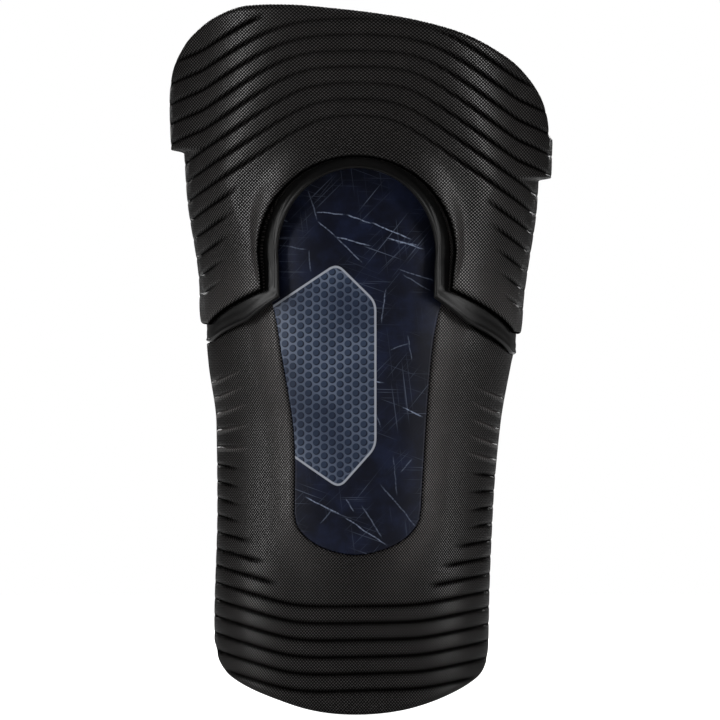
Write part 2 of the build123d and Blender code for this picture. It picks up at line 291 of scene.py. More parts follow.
def slab(name, outer, inner, uv=None, attributes=None, lined=False):
    """A closed shell between an outer grid and a coarser inner grid with as many columns.
    A lined shell keeps its second material for the inner face."""
    columns, rows, _ = outer.shape
    inner_rows = inner.shape[1]
    start = columns * rows
    faces = grid_faces(columns, rows) + grid_faces(columns, inner_rows, start)
    for j_out, j_in in ((0, 0), (rows - 1, inner_rows - 1)):
        for i in range(columns - 1):
            a, b = i * rows + j_out, (i + 1) * rows + j_out
            c, d = start + (i + 1) * inner_rows + j_in, start + i * inner_rows + j_in
            faces.append([a, b, c, d])
    for i in (0, columns - 1):
        rim = [i * rows + j for j in range(rows)]
        back = [start + i * inner_rows + j for j in reversed(range(inner_rows))]
        faces.append(rim + back)
    verts = np.concatenate([outer.reshape(-1, 3), inner.reshape(-1, 3)])
    pad = columns * inner_rows
    if uv is not None:
        inner_uv = np.stack([inner.reshape(-1, 3)[:, 0], inner.reshape(-1, 3)[:, 2]], axis=1)
        uv = np.concatenate([uv.reshape(-1, 2), inner_uv * MM])
    filled = {k: np.concatenate([v.ravel(), np.full(pad, -1.0 if k == "panel" else 0.0)])
              for k, v in (attributes or {}).items()}
    obj = new_object(name, verts, faces, uv, filled)
    if lined:
        index = np.zeros(len(obj.data.polygons), np.int32)
        first = (columns - 1) * (rows - 1)
        index[first:first + (columns - 1) * (inner_rows - 1)] = 1
        obj.data.polygons.foreach_set("material_index", index)
    return obj


def spans(low, high, spacing, edge=(0.0, 0.35, 0.8, 1.4, 2.2, 3.2)):
    """Row shares for columns from low to high, close together at both edges."""
    length = np.linalg.norm(high - low, axis=1)
    middle = int(np.max(length) / spacing)
    edge = np.array(edge)
    share = np.linspace(0, 1, middle + 2)[None, 1:-1]
    first = np.tile(edge, (len(length), 1))
    centre = edge[-1] + share * (length[:, None] - 2 * edge[-1])
    last = length[:, None] - edge[::-1]
    return np.concatenate([first, centre, last], axis=1) / length[:, None]


def matched(runs):
    """Low and high edges with as many points, from runs of low path, high path and count."""
    low = [resample(a, count)[:-1] for a, _, count in runs]
    high = [resample(b, count)[:-1] for _, b, count in runs]
    return np.vstack(low + [runs[-1][0][-1:]]), np.vstack(high + [runs[-1][1][-1:]])


def between(low, high, share):
    """A grid of points from a low edge to a high one."""
    return low[:, None, :] + (high - low)[:, None, :] * share[:, :, None]


def rounding(distance, radius):
    """How far a surface drops near an edge rounded to a radius."""
    left = np.clip(radius - distance, 0, radius)
    return radius - np.sqrt(np.maximum(radius ** 2 - left ** 2, 0))


# ---- node helpers -------------------------------------------------------------------------------
class Nodes:
    """A material's node tree, with short calls for the nodes used here."""

    def __init__(self, name):
        self.material = bpy.data.materials.new(name)
        self.material.use_nodes = True
        self.tree = self.material.node_tree
        self.shader = self.tree.nodes["Principled BSDF"]

    def put(self, socket, value):
        if isinstance(value, bpy.types.NodeSocket):
            self.tree.links.new(value, socket)
        elif isinstance(value, (tuple, list)) and len(value) == 3 and socket.type == "RGBA":
            socket.default_value = (*value, 1)
        else:
            socket.default_value = value

    def node(self, kind, settings=None, **inputs):
        made = self.tree.nodes.new(kind)
        for key, value in (settings or {}).items():
            setattr(made, key, value)
        for key, value in inputs.items():
            self.put(made.inputs[key.replace("_", " ")], value)
        return made

    def math(self, operation, *values, clamp=False):
        made = self.node("ShaderNodeMath", {"operation": operation, "use_clamp": clamp})
        for socket, value in zip(made.inputs, values):
            self.put(socket, value)
        return made.outputs[0]

    def plus(self, a, b):
        return self.math("ADD", a, b)

    def minus(self, a, b):
        return self.math("SUBTRACT", a, b)

    def times(self, a, b):
        return self.math("MULTIPLY", a, b)

    def ramp(self, value, low, high, to_low=0.0, to_high=1.0):
        made = self.node("ShaderNodeMapRange", {"interpolation_type": "SMOOTHSTEP"})
        for socket, number in zip(made.inputs, (value, low, high, to_low, to_high)):
            self.put(socket, number)
        return made.outputs[0]

    def mix(self, share, a, b):
        made = self.node("ShaderNodeMix", {"data_type": "RGBA"})
        self.put(made.inputs[0], share)
        self.put(made.inputs[6], a)
        self.put(made.inputs[7], b)
        return made.outputs[2]

    def attribute(self, name):
        return self.node("ShaderNodeAttribute", {"attribute_name": name}).outputs["Fac"]

    def plan(self):
        uv = self.node("ShaderNodeUVMap", {"uv_map": "plan"}).outputs[0]
        parts = self.node("ShaderNodeSeparateXYZ", Vector=uv)
        return uv, parts.outputs[0], parts.outputs[1]

    def place(self):
        return self.node("ShaderNodeTexCoord").outputs["Object"]

    def noise(self, vector, scale, detail=3.0, roughness=0.5):
        inputs = {"Vector": vector, "Scale": scale, "Detail": detail, "Roughness": roughness}
        return self.node("ShaderNodeTexNoise", **inputs).outputs[0]

    def mapped(self, vector, scale=(1, 1, 1), rotation=0.0, shift=(0, 0, 0)):
        made = self.node("ShaderNodeMapping", Vector=vector, Scale=scale, Location=shift)
        made.inputs["Rotation"].default_value = (0, 0, rotation)
        return made.outputs[0]

    def bump(self, height, distance, strength=1.0, normal=None):
        made = self.node("ShaderNodeBump", Height=height, Distance=distance, Strength=strength)
        if normal is not None:
            self.put(made.inputs["Normal"], normal)
        return made.outputs[0]

    def finish(self, **inputs):
        for key, value in inputs.items():
            self.put(self.shader.inputs[key.replace("_", " ")], value)
        return self.material


def wave(n, value, pitch):
    """A smooth wave of 0 to 1 with this pitch along a coordinate."""
    turns = n.times(value, 2 * math.pi / pitch)
    return n.times(n.plus(n.math("SINE", turns), 1.0), 0.5)


# ---- materials ----------------------------------------------------------------------------------
WEAVE_PITCH = 1.95 * MM


def moulded_fabric():
    """Fine woven face moulded on foam: rows of light yarn dots, with painted shade and painted
    highlights.
    """
    n = Nodes("moulded_fabric")
    _, u, v = n.plan()
    across = wave(n, n.plus(u, v), WEAVE_PITCH)
    along = wave(n, n.minus(u, v), WEAVE_PITCH)
    dots = n.ramp(n.times(across, along), 0.10, 0.50)
    # Painted shade and painted highlight: a per-point mask, where values above 0 darken and values below
    # 0 lighten.
    painted_shade_and_light = n.attribute("painted_shade_and_light")
    patchy = n.ramp(n.noise(n.place(), 60.0), 0.3, 0.75, 0.75, 1.15)
    # Share of the yarn colour left after the painted shade; above 1 where a painted highlight lightens
    # it.
    clear = n.minus(1.0, painted_shade_and_light)
    lift = n.times(n.times(dots, patchy), clear)
    bright = n.math("MULTIPLY", lift, 0.28, clamp=True)
    # This colour carries the painted shade and painted highlights of the mask above.
    colour = n.mix(bright, (0.0010, 0.0009, 0.0009), (0.150, 0.130, 0.125))
    rough = n.ramp(dots, 0.0, 1.0, 0.58, 0.36)
    normal = n.bump(dots, 0.25 * MM, 0.7)
    gloss = n.math("MULTIPLY", n.ramp(dots, 0.0, 1.0, 0.12, 1.0), clear, clamp=True)
    return n.finish(Base_Color=colour, Roughness=rough, Normal=normal, Specular_IOR_Level=gloss)


def rim_plastic():
    """Smooth black moulded plastic with a very fine grain."""
    n = Nodes("rim_plastic")
    fine = n.noise(n.place(), 900.0, 2.0)
    cloudy = n.noise(n.place(), 40.0, 3.0)
    colour = n.mix(cloudy, (0.007, 0.0069, 0.0069), (0.013, 0.0126, 0.0126))
    rough = n.ramp(cloudy, 0.3, 0.7, 0.28, 0.36)
    normal = n.bump(fine, 0.02 * MM, 0.4)
    return n.finish(Base_Color=colour, Roughness=rough, Normal=normal, Specular_IOR_Level=0.25)


HEX_COLUMN = 4.5 * MM      # distance between columns of the printed mesh
HEX_ROW = 5.2 * MM         # distance between dots in a column
PANEL_LINE = 0.62 * MM     # half width of the silver outline


def lattice_distance(n, u, v, shift_u, shift_v):
    """Distance to the nearest point of one rectangular half of a hexagonal lattice."""
    a = n.math("WRAP", n.plus(u, shift_u), HEX_COLUMN, -HEX_COLUMN)
    b = n.math("WRAP", n.plus(v, shift_v), HEX_ROW / 2, -HEX_ROW / 2)
    return n.math("SQRT", n.plus(n.times(a, a), n.times(b, b)))


def hex_distance(n, u, v):
    """Distance to the nearest dot of the printed mesh."""
    halves = ((0.0, 0.0), (HEX_COLUMN, HEX_ROW / 2))
    return n.math("MINIMUM", *(lattice_distance(n, u, v, *shift) for shift in halves))


# Worn strokes on the cap: start x, z, end x, z in millimetres and brightness.
STROKES = [
    (-23, 293, -5, 291.5, 0.6), (-5, 291.5, 10, 286, 0.8), (9, 287, 33, 277, 1.0),
    (-27, 306, -21, 288, 0.35), (-21, 288, -11, 279, 0.5), (-12, 279, 10, 273, 0.75),
    (18, 278.5, 40, 271.5, 1.0), (24, 275.5, 37, 274, 0.7), (-11, 279, 5, 263, 0.45),
    (24, 260, 46, 253, 0.4), (27, 257, 44, 247, 0.3), (18, 249, 15, 228, 0.5),
    (-26, 271, -25, 258, 0.3), (-44, 274, -27, 271, 0.3), (-45, 290, -38, 287, 0.4),
    (2, 197, 17, 194, 0.9), (27, 180, 39, 174, 0.9), (10, 182, 15, 168, 0.35),
    (-29, 128, -7, 117, 0.9), (-7, 117, 19, 99, 0.7), (4, 123, 16, 103, 0.4),
    (14, 136, 37, 108, 0.35), (-5, 127, 0, 119, 0.5), (22, 152, 24, 128, 0.25),
    (30, 222, 33, 206, 0.3), (20, 213, 31, 217, 0.35), (33, 150, 26, 142, 0.3),
    (-20, 112, -12, 121, 0.3),
]


def stroke(n, u, v, ends):
    """A thin tapering line between two places."""
    ax, az, bx, bz = (value * MM for value in ends)
    length = math.hypot(bx - ax, bz - az)
    cos, sin = (bx - ax) / length, (bz - az) / length
    du, dv = n.minus(u, ax), n.minus(v, az)
    along = n.plus(n.times(du, cos), n.times(dv, sin))
    across = n.minus(n.times(dv, cos), n.times(du, sin))
    off_middle = n.math("ABSOLUTE", n.minus(along, length / 2))
    within = n.ramp(off_middle, length * 0.30, length * 0.52, 1.0, 0.0)
    thin = n.ramp(n.math("ABSOLUTE", across), 0.10 * MM, 0.48 * MM, 1.0, 0.0)
    return n.times(thin, within)


# The haze of finer scratches: direction in radians, length and width in millimetres.
HAZE = [(0.35, 30.0, 0.5), (-0.9, 26.0, 0.45), (1.45, 40.0, 0.5), (0.02, 22.0, 0.4), (2.35, 34.0, 0.45)]


def scratches(n, uv):
    """Strokes with wavering, broken lines, over a haze of finer ones."""
    waver = n.node("ShaderNodeTexNoise", Vector=uv, Scale=130.0, Detail=2.0)
    offset = n.node("ShaderNodeVectorMath", {"operation": "MULTIPLY_ADD"})
    n.put(offset.inputs[0], waver.outputs["Color"])
    offset.inputs[1].default_value = (1.6 * MM, 1.6 * MM, 0)
    n.put(offset.inputs[2], uv)
    parts = n.node("ShaderNodeSeparateXYZ", Vector=offset.outputs[0])
    total = 0.0
    for *ends, strength in STROKES:
        line = n.times(stroke(n, parts.outputs[0], parts.outputs[1], ends), strength)
        total = n.math("MAXIMUM", total, line)
    broken = n.ramp(n.noise(uv, 700.0, 2.0), 0.30, 0.60, 0.25, 1.0)
    haze = 0.0
    for k, (turn, length, width) in enumerate(HAZE):
        turned = n.mapped(uv, rotation=turn, shift=(0.11 * k, 0.07 * k, 0))
        stretched = n.mapped(turned, scale=(1 / (length * MM), 1 / (width * MM), 1))
        streak = n.ramp(n.noise(stretched, 0.5, 0.0), 0.71, 0.82, 0.0, 0.25)
        haze = n.math("MAXIMUM", haze, streak)
    patches = n.ramp(n.noise(uv, 30.0, 2.0), 0.42, 0.60)
    return n.math("MAXIMUM", n.times(total, broken), n.times(haze, patches))


def navy_cap():
    """Printed satin plastic: cloudy navy, scratches, and a plain panel of hexagonal mesh."""
    n = Nodes("navy_cap")
    uv, u, v = n.plan()
    cloud = n.ramp(n.noise(uv, 38.0, 5.0, 0.62), 0.38, 0.72)
    base = n.mix(cloud, (0.0042, 0.0058, 0.0165), (0.013, 0.020, 0.057))
    worn = n.mix(scratches(n, uv), base, (0.42, 0.50, 0.70))
    apart = hex_distance(n, u, v)
    crescent = hex_distance(n, n.plus(u, 0.55 * MM), n.minus(v, 0.35 * MM))
    dot = n.ramp(apart, 1.9 * MM, 2.25 * MM, 1.0, 0.0)
    shade = n.ramp(crescent, 1.5 * MM, 2.1 * MM)
    light = n.ramp(n.noise(uv, 18.0, 2.0), 0.35, 0.65)
    line = n.mix(light, (0.085, 0.11, 0.175), (0.20, 0.245, 0.345))
    disc = n.mix(light, (0.024, 0.037, 0.076), (0.055, 0.081, 0.145))
    disc = n.mix(shade, disc, (0.014, 0.020, 0.044))
    mesh = n.mix(dot, line, disc)
    panel = n.attribute("panel")
    within = n.ramp(panel, -0.1 * MM, 0.1 * MM)
    edge = n.ramp(n.math("ABSOLUTE", panel), PANEL_LINE - 0.12 * MM, PANEL_LINE + 0.12 * MM, 1.0, 0.0)
    colour = n.mix(edge, n.mix(within, worn, mesh), (0.55, 0.58, 0.66))
    normal = n.bump(n.noise(n.place(), 1200.0, 2.0), 0.01 * MM, 0.3)
    return n.finish(Base_Color=colour, Roughness=0.42, Normal=normal, Specular_IOR_Level=0.35)


def cup_foam():
    """Closed-cell foam skin: charcoal, matt, finely pitted."""
    n = Nodes("cup_foam")
    where = n.place()
    cells = n.node("ShaderNodeTexVoronoi", Vector=where, Scale=1400.0).outputs["Distance"]
    cloudy = n.noise(where, 45.0)
    colour = n.mix(cloudy, (0.016, 0.016, 0.017), (0.034, 0.034, 0.036))
    return n.finish(Base_Color=colour, Roughness=0.85, Normal=n.bump(cells, 0.12 * MM, 0.5))


def liner_fabric():
    """Brushed knit over the pads, with fine vertical wales and a soft nap."""
    n = Nodes("liner_fabric")
    _, u, v = n.plan()
    wales = wave(n, u, 1.7 * MM)
    courses = wave(n, n.plus(v, n.times(wales, 0.4 * MM)), 1.3 * MM)
    knit = n.times(wales, courses)
    nap = n.noise(n.place(), 1500.0, 4.0, 0.7)
    cloudy = n.noise(n.place(), 35.0)
    raised = n.plus(knit, n.times(nap, 0.5))
    lit = n.times(raised, n.ramp(cloudy, 0.3, 0.7, 0.75, 1.1))
    colour = n.mix(n.ramp(lit, 0.1, 1.1), (0.010, 0.010, 0.011), (0.060, 0.061, 0.066))
    normal = n.bump(nap, 0.15 * MM, 0.4, n.bump(knit, 0.25 * MM, 0.6))
    sheen = {"Sheen_Weight": 0.25, "Sheen_Roughness": 0.5}
    return n.finish(Base_Color=colour, Roughness=0.9, Normal=normal, **sheen)


def hook_tape():
    """Rows of small stiff hooks on a woven backing."""
    n = Nodes("hook_tape")
    where = n.place()
    hooks = n.node("ShaderNodeTexVoronoi", Vector=where, Scale=750.0, Randomness=0.35).outputs["Distance"]
    tips = n.ramp(hooks, 0.15, 0.45, 1.0, 0.0)
    worn = n.noise(where, 90.0)
    colour = n.mix(tips, (0.006, 0.006, 0.007), n.mix(worn, (0.03, 0.03, 0.032), (0.07, 0.07, 0.074)))
    return n.finish(Base_Color=colour, Roughness=0.6, Normal=n.bump(tips, 0.5 * MM, 0.9))


def loop_tape():
    """Tangled soft loops, slightly flattened where the hooks have gripped."""
    n = Nodes("loop_tape")
    where = n.place()
    tangle = {"Scale": 900.0, "Detail": 5.0, "Roughness": 0.75, "Distortion": 2.5}
    loops = n.node("ShaderNodeTexNoise", Vector=where, **tangle).outputs[0]
    worn = n.ramp(n.noise(where, 70.0), 0.35, 0.65)
    yarn = n.mix(worn, (0.032, 0.032, 0.034), (0.06, 0.06, 0.063))
    colour = n.mix(n.ramp(loops, 0.3, 0.7), (0.006, 0.006, 0.007), yarn)
    normal = n.bump(loops, 0.6 * MM, 0.8)
    return n.finish(Base_Color=colour, Roughness=0.95, Normal=normal, Sheen_Weight=0.3)


def webbing():
    """Twisted polyester thread and binding."""
    n = Nodes("webbing")
    where = n.place()
    parts = n.node("ShaderNodeSeparateXYZ", Vector=where)
    level = n.plus(parts.outputs[0], parts.outputs[1])
    twist = wave(n, n.plus(parts.outputs[2], level), 0.8 * MM)
    fuzz = n.noise(where, 1200.0)
    colour = n.mix(n.times(twist, fuzz), (0.010, 0.010, 0.011), (0.075, 0.075, 0.080))
    normal = n.bump(twist, 0.15 * MM, 0.6)
    return n.finish(Base_Color=colour, Roughness=0.75, Normal=normal, Sheen_Weight=0.1)


def elastic():
    """Woven elastic: ribs along the strap, fine picks across it, a smooth selvedge."""
    n = Nodes("elastic")
    _, u, v = n.plan()
    ribs = wave(n, v, 2.6 * MM)
    picks = wave(n, n.plus(u, n.times(ribs, 0.5 * MM)), 1.1 * MM)
    cloudy = n.noise(n.place(), 60.0)
    relief = n.plus(n.times(ribs, 0.65), n.times(picks, 0.35))
    lit = n.times(relief, n.ramp(cloudy, 0.3, 0.7, 0.8, 1.1))
    colour = n.mix(lit, (0.006, 0.006, 0.0065), (0.045, 0.045, 0.048))
    normal = n.bump(relief, 0.3 * MM, 0.8)
    return n.finish(Base_Color=colour, Roughness=0.7, Normal=normal, Sheen_Weight=0.15)


def pull_rubber():
    """Moulded rubber with a little dust in its grain."""
    n = Nodes("pull_rubber")
    dust = n.noise(n.place(), 160.0, 5.0)
    colour = n.mix(n.ramp(dust, 0.45, 0.75), (0.012, 0.012, 0.013), (0.035, 0.034, 0.034))
    rough = n.ramp(dust, 0.3, 0.8, 0.45, 0.7)
    return n.finish(Base_Color=colour, Roughness=rough, Normal=n.bump(dust, 0.04 * MM, 0.5))


def rivet_metal():
    """Nickel-plated brass with turning marks and dulled patches."""
    n = Nodes("rivet_metal")
    where = n.place()
    tarnish = n.ramp(n.noise(where, 260.0, 4.0), 0.4, 0.7)
    colour = n.mix(tarnish, (0.55, 0.54, 0.52), (0.30, 0.28, 0.25))
    rough = n.ramp(tarnish, 0.0, 1.0, 0.22, 0.48)
    normal = n.bump(n.noise(where, 2500.0), 0.02 * MM, 0.4)
    return n.finish(Base_Color=colour, Metallic=1.0, Roughness=rough, Normal=normal)


def washer_plastic():
    """Black nylon, slightly polished by rubbing."""
    n = Nodes("washer_plastic")
    marks = n.noise(n.place(), 500.0, 3.0)
    colour = n.mix(marks, (0.012, 0.012, 0.012), (0.03, 0.03, 0.03))
    rough = n.ramp(marks, 0.3, 0.7, 0.3, 0.5)
    return n.finish(Base_Color=colour, Roughness=rough, Normal=n.bump(marks, 0.03 * MM, 0.4))


MAKERS = (
    moulded_fabric, rim_plastic, navy_cap, cup_foam, liner_fabric, hook_tape, loop_tape, webbing, elastic,
    pull_rubber, rivet_metal, washer_plastic,
)
MATERIALS = {make.__name__: make() for make in MAKERS}


def add(obj, slot, body, *nodes, lining=None):
    """Gives a piece its material and puts it on the frame."""
    obj.data.materials.append(MATERIALS[slot])
    if lining:
        obj.data.materials.append(MATERIALS[lining])
    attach(obj, body)
    if nodes:
        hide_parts(*nodes)
    return obj


# ---- knee section -------------------------------------------------------------------------------
def plate_offset(z):
    """How deep the plate's face lies under the section, less towards its lower edge."""
    return 1.5 + (KNEE_FOAM + GAP - 1.5) * np.clip((z - 215) / 47, 0, 1)


def arch(radius_x, radius_z, corner, count):
    """From the left corner up round the knee and down to the right corner, seen from the front."""
    angle = np.linspace(math.pi, 0, 90)
    top = np.stack([ARCH_X + radius_x * np.cos(angle), ARCH_Z + radius_z * np.sin(angle)], axis=1)
    left, right = (-corner[0], corner[1]), (corner[0] + 0.6, corner[1])
    return resample(np.vstack([[left], top, [right]]), count)


TOP_EDGE = [
    (-109.6, 350), (-109.6, 362), (-108.8, 372), (-106.8, 380.5), (-103.2, 387.8), (-98.2, 395),
    (-87.6, 404), (-74, 410.3), (-61.4, 412.5), (-38, 412.4), (-15, 410.4), (8, 407.9), (31.7, 404.4),
    (55.3, 398.9), (70.8, 393.3), (83.4, 386.7), (93.4, 380.2), (100.6, 373.2), (106, 366.2),
    (109.8, 359), (112.4, 350), (113.6, 338),
]
PIVOT_ARC = SIDE + HINGE_Y - WIDEST_Y           # arc length from the front to the knee hinge
WING_FROM = 0.86                                # share of the half width where the step starts
FOAM_CORNER = (55.4, 246.6)                     # where the foam's arch meets the slanted break
PLATE_CORNER = (47.2, 242.5)                    # the same corner of the plate's rim
PLATE_SLANT_LEFT = [(-86.4, 216.9), (-65.3, 229.2), (-47.2, 242.5)]
PLATE_SLANT_RIGHT = [(47.8, 242.5), (66.5, 228.2), (92.4, 209.6)]


def widening(s, z):
    """The extra width of the upper wings, above a notch on each side."""
    share = smoothstep(WING_FROM, 1.0, np.interp(np.abs(s), ARC, ACROSS))
    left = smoothstep(NOTCH_LEFT_Z - 0.6, NOTCH_LEFT_Z + 1.2, z)
    right = smoothstep(NOTCH_RIGHT_Z - 0.6, NOTCH_RIGHT_Z + 1.2, z)
    return WING_STEP * share * np.where(s < 0, left, right)


def arc_wide(path):
    """A path drawn from the front on the widened upper wings, as arc length and z."""
    path = np.asarray(path, float)
    left, right, _ = envelope(KNEE, path[:, 1])
    width = np.where(path[:, 0] < 0, left, right)
    across = np.linspace(0, 1, 500)
    shows = across * (width[:, None] + WING_STEP * smoothstep(WING_FROM, 1.0, across))
    share = np.array([np.interp(abs(x), row, across) for x, row in zip(path[:, 0], shows)])
    arc = np.interp(share, ACROSS[ARC <= SIDE], ARC[ARC <= SIDE])
    return np.stack([np.where(path[:, 0] < 0, -arc, arc), path[:, 1]], axis=1)


CHEVRON_FALL = (0.64, 0.68)      # how steeply the grooves fall to the left and to the right


def chevron_height(i, x):
    """Height at x of groove i: level over the middle, then falling to each side."""
    flat = 52.4 - 3.7 * i
    soft = 7 + 5 * sigmoid((3.5 - i) * 1.5)
    fall = np.where(x < 0, *CHEVRON_FALL)
    return 422.7 - 9.33 * i - fall * softplus(np.abs(x) - flat, soft)


def groove_field(height, first, last, x, z):
    """Nearest groove's number and the distance to it across the groove."""
    number = np.arange(first, last + 1)[:, None]
    levels = height(number, x.ravel()[None, :])
    below = np.clip((levels > z.ravel()[None, :]).sum(axis=0) - 1, 0, len(number) - 2)
    pick = np.arange(levels.shape[1])
    upper, lower = levels[below, pick], levels[below + 1, pick]
    exact = number[below, 0] + np.clip((upper - z.ravel()) / (upper - lower), -3, 3)
    nearest = np.round(exact)
    apart = (exact - nearest) * (upper - lower)
    return nearest.reshape(x.shape), apart.reshape(x.shape)


def groove_depth(apart):
    """A narrow groove with softly rounded shoulders."""
    return 1.15 * bell(apart, 0.75) + 0.25 * bell(apart, 2.2)


def side_fade(s):
    """Shallower grooves round the widest place, which keeps the outline straight."""
    away = np.abs(s) - SIDE
    return 1 - 0.75 * smoothstep(-18, -3, away) * smoothstep(16, 4, away)


def wing_painted_shade(s):
    """Painted shade: the fabric on the wings is painted darker than the fabric in front."""
    return 0.42 * smoothstep(SIDE - 62, SIDE - 16, np.abs(s))


def knee_grooves(s, z):
    """Depth share of the nearest groove of the upper section, and the distance to it."""
    x = front_x(KNEE, s, z)
    number, apart = groove_field(chevron_height, -2, 17, x, z)
    left, right, _ = envelope(KNEE, z)
    from_edge = np.where(x < 0, left, right) - np.abs(x)
    reach = 30.0 * 0.82 ** (number - 9)
    short = smoothstep(reach + 3, reach - 9, from_edge)
    full = 0.55 + 0.45 * smoothstep(25, 80, np.abs(x))
    first = smoothstep(-50, -62, x)
    share = np.where(number >= 9, short, full)
    share = np.where(number == 1, first, share)
    share = np.where((number < 1) | (number > 13), 0, share)
    slope = np.where(x < 0, *CHEVRON_FALL) * smoothstep(20, 50, np.abs(x))
    return share, apart / np.sqrt(1 + slope ** 2)


def knee_shell():
    """Moulded foam over the plate: chevron grooves, an arch round the dome, pivot recesses."""
    rear_low = [(-HALF, 238.0), (-SIDE - 22, 230.0), (-SIDE, 227.2)]
    left_slant = to_domain(KNEE, [(-86.5, 227.0), (-55.4, 246.6)])
    curve = to_domain(KNEE, arch(57.8, 55.8, FOAM_CORNER, 200))
    right_slant = to_domain(KNEE, [(55.9, 246.6), (92.6, 221.8)])
    rear_right = [(SIDE, 221.6), (SIDE + 22, 225.0), (HALF, 233.0)]
    top = smooth_path(TOP_EDGE, 400)
    split = [np.argmin(np.hypot(top[:, 0] - x, top[:, 1] - z)) for x, z in ((-97, 393.5), (97, 373))]
    top = arc_wide(top)
    rear_top_left = [
        (-HALF, 330.0), (-HALF + 4, 337.0), (-HALF + 14, 343.0), (-SIDE - 12, 348.0), (-SIDE, 352.0),
    ]
    rear_top_right = [
        (SIDE, 338.0), (SIDE + 12, 334.0), (HALF - 14, 330.0), (HALF - 4, 325.0), (HALF, 318.0),
    ]
    low, high = matched([
        (rear_low, rear_top_left, 34),
        (left_slant, top[:split[0] + 1], 46),
        (curve, top[split[0]:split[1] + 1], 210),
        (right_slant, top[split[1]:], 48),
        (rear_right, rear_top_right, 34),
    ])
    share = spans(low, high, 0.72)
    grid = between(low, high, share)
    s, z = grid[..., 0], grid[..., 1]
    thick = plate_offset(z) - GAP
    from_low = np.linalg.norm(grid - low[:, None, :], axis=2)
    from_high = np.linalg.norm(grid - high[:, None, :], axis=2)
    edge = rounding(from_low, np.minimum(2.6, 0.85 * thick))
    edge += rounding(from_high, 3.4) + rounding(HALF - np.abs(s), 3.4)
    amount, apart = knee_grooves(s, z)
    calm = smoothstep(0.5, 5, from_high) * smoothstep(1, 6, from_low)
    cut = amount * calm * groove_depth(apart) * side_fade(s)
    ridge = 2.4 * smoothstep(1, 24, from_low) * (1 - 0.9 * smoothstep(26, 75, from_low))
    from_pivot = np.hypot(np.abs(s) - PIVOT_ARC, z - HINGE_Z)
    recess = smoothstep(9.6, 7.9, from_pivot)
    sunk = (edge + cut + ridge) * (1 - recess) + (thick - 0.4) * recess
    outer = place(KNEE, s, z, sunk, widening(s, z))
    inner_share = np.tile(np.linspace(0, 1, 12), (len(low), 1))
    grid_in = between(low, high, inner_share)
    deep = plate_offset(grid_in[..., 1]) - GAP
    inner = place(KNEE, grid_in[..., 0], grid_in[..., 1], deep, 0 * deep)
    uv = np.stack([s * MM, z * MM], axis=-1)
    # Painted shade: darker in the grooves and along the lower edge, where the foam turns under.
    painted_shade_and_light = np.maximum(amount * calm * bell(apart, 1.4), smoothstep(2.4, 0.8, from_low))
    # Painted highlight: the mask named stretched lightens the fabric beside the dome.
    stretched = bell(from_low - 11, 13) * smoothstep(32, 56, np.abs(front_x(KNEE, s, z)))
    # Painted shade over the wings.
    painted_shade_and_light = np.maximum(painted_shade_and_light, wing_painted_shade(s))
    painted_shade_and_light = painted_shade_and_light - 1.3 * stretched * (1 - painted_shade_and_light)
    return slab("knee_shell_cover", outer, inner, uv, {"painted_shade_and_light": painted_shade_and_light}, lined=True)


def knee_plate():
    """Smooth plate under the upper foam; its turned rim shows round the dome and along the break."""
    curve = to_domain(KNEE, arch(49.4, 49.4, PLATE_CORNER, 200))
    left_slant = to_domain(KNEE, PLATE_SLANT_LEFT)
    right_slant = to_domain(KNEE, PLATE_SLANT_RIGHT)
    rear_low = [(-HALF + 1, 228.0), (-SIDE - 22, 219.5), (-SIDE, 217.0)]
    rear_right = [(SIDE, 209.6), (SIDE + 22, 214.5), (HALF - 1, 225.0)]
    top = [(-SIDE, 338), (-100, 364), (-78, 390), (-46, 399), (8, 396), (52, 386), (84, 369), (SIDE, 333)]
    top = smooth_path(top, 300)
    split = [np.argmin(np.abs(top[:, 0] - x)) for x in (-96, 96)]
    low, high = matched([
        (rear_low, [(-HALF + 1, 322.0), (-SIDE, 338.0)], 30),
        (left_slant, top[:split[0] + 1], 40),
        (curve, top[split[0]:split[1] + 1], 240),
        (right_slant, top[split[1]:], 40),
        (rear_right, [(SIDE, 333.0), (HALF - 1, 312.0)], 30),
    ])
    length = np.linalg.norm(high - low, axis=1)[:, None]
    rows = np.array([0, 0.25, 0.6, 1.0, 1.5, 2.2, 3.2, 4.4, 5.6, 6.6, 7.4, 8.2, 9.2, 11, 14, 20])
    fine = rows[-1] / length
    rest = fine + (1 - fine) * np.linspace(0, 1, 24)[None, 1:]
    share = np.concatenate([np.tile(rows, (len(low), 1)) / length, rest], axis=1)
    grid = between(low, high, share)
    s, z = grid[..., 0], grid[..., 1]
    from_low = np.linalg.norm(grid - low[:, None, :], axis=2)
    bead = 0.5 * bell(from_low - 1.1, 0.8)
    turned = rounding(from_low, 0.9) - bead + 0.4 * smoothstep(4.5, 8, from_low)
    base = plate_offset(z)
    outer = place(KNEE, s, z, base + np.minimum(turned, 1.3))
    inner = place(KNEE, s, z, base + PLATE - 1.0 * smoothstep(9, 1, from_low))
    uv = np.stack([s * MM, z * MM], axis=-1)
    return slab("knee_plate_rim", outer, inner, uv)


# ---- lower section ------------------------------------------------------------------------------
CAP_LEFT = [
    (-50, 243), (-46.6, 232), (-42.4, 206), (-37.3, 176), (-35.4, 156), (-35.3, 136), (-35.6, 117),
]
CAP_TIP = [
    (-35.6, 117), (-33.2, 109), (-26.2, 101.6), (-15.2, 96), (0.6, 93.3), (17, 96.8), (29, 103.6),
    (35.6, 112), (37.4, 120),
]
CAP_RIGHT = [(37.4, 120), (39.2, 150), (41.4, 184), (44.2, 214), (47.4, 232), (50.6, 243)]
CAP_LOWEST_Z = 93.35


def cap_side():
    """The cap's border below the knee, from its left shoulder round the tip to its right one."""
    return smooth_path(CAP_LEFT, 120), smooth_path(CAP_TIP, 90), smooth_path(CAP_RIGHT, 120)


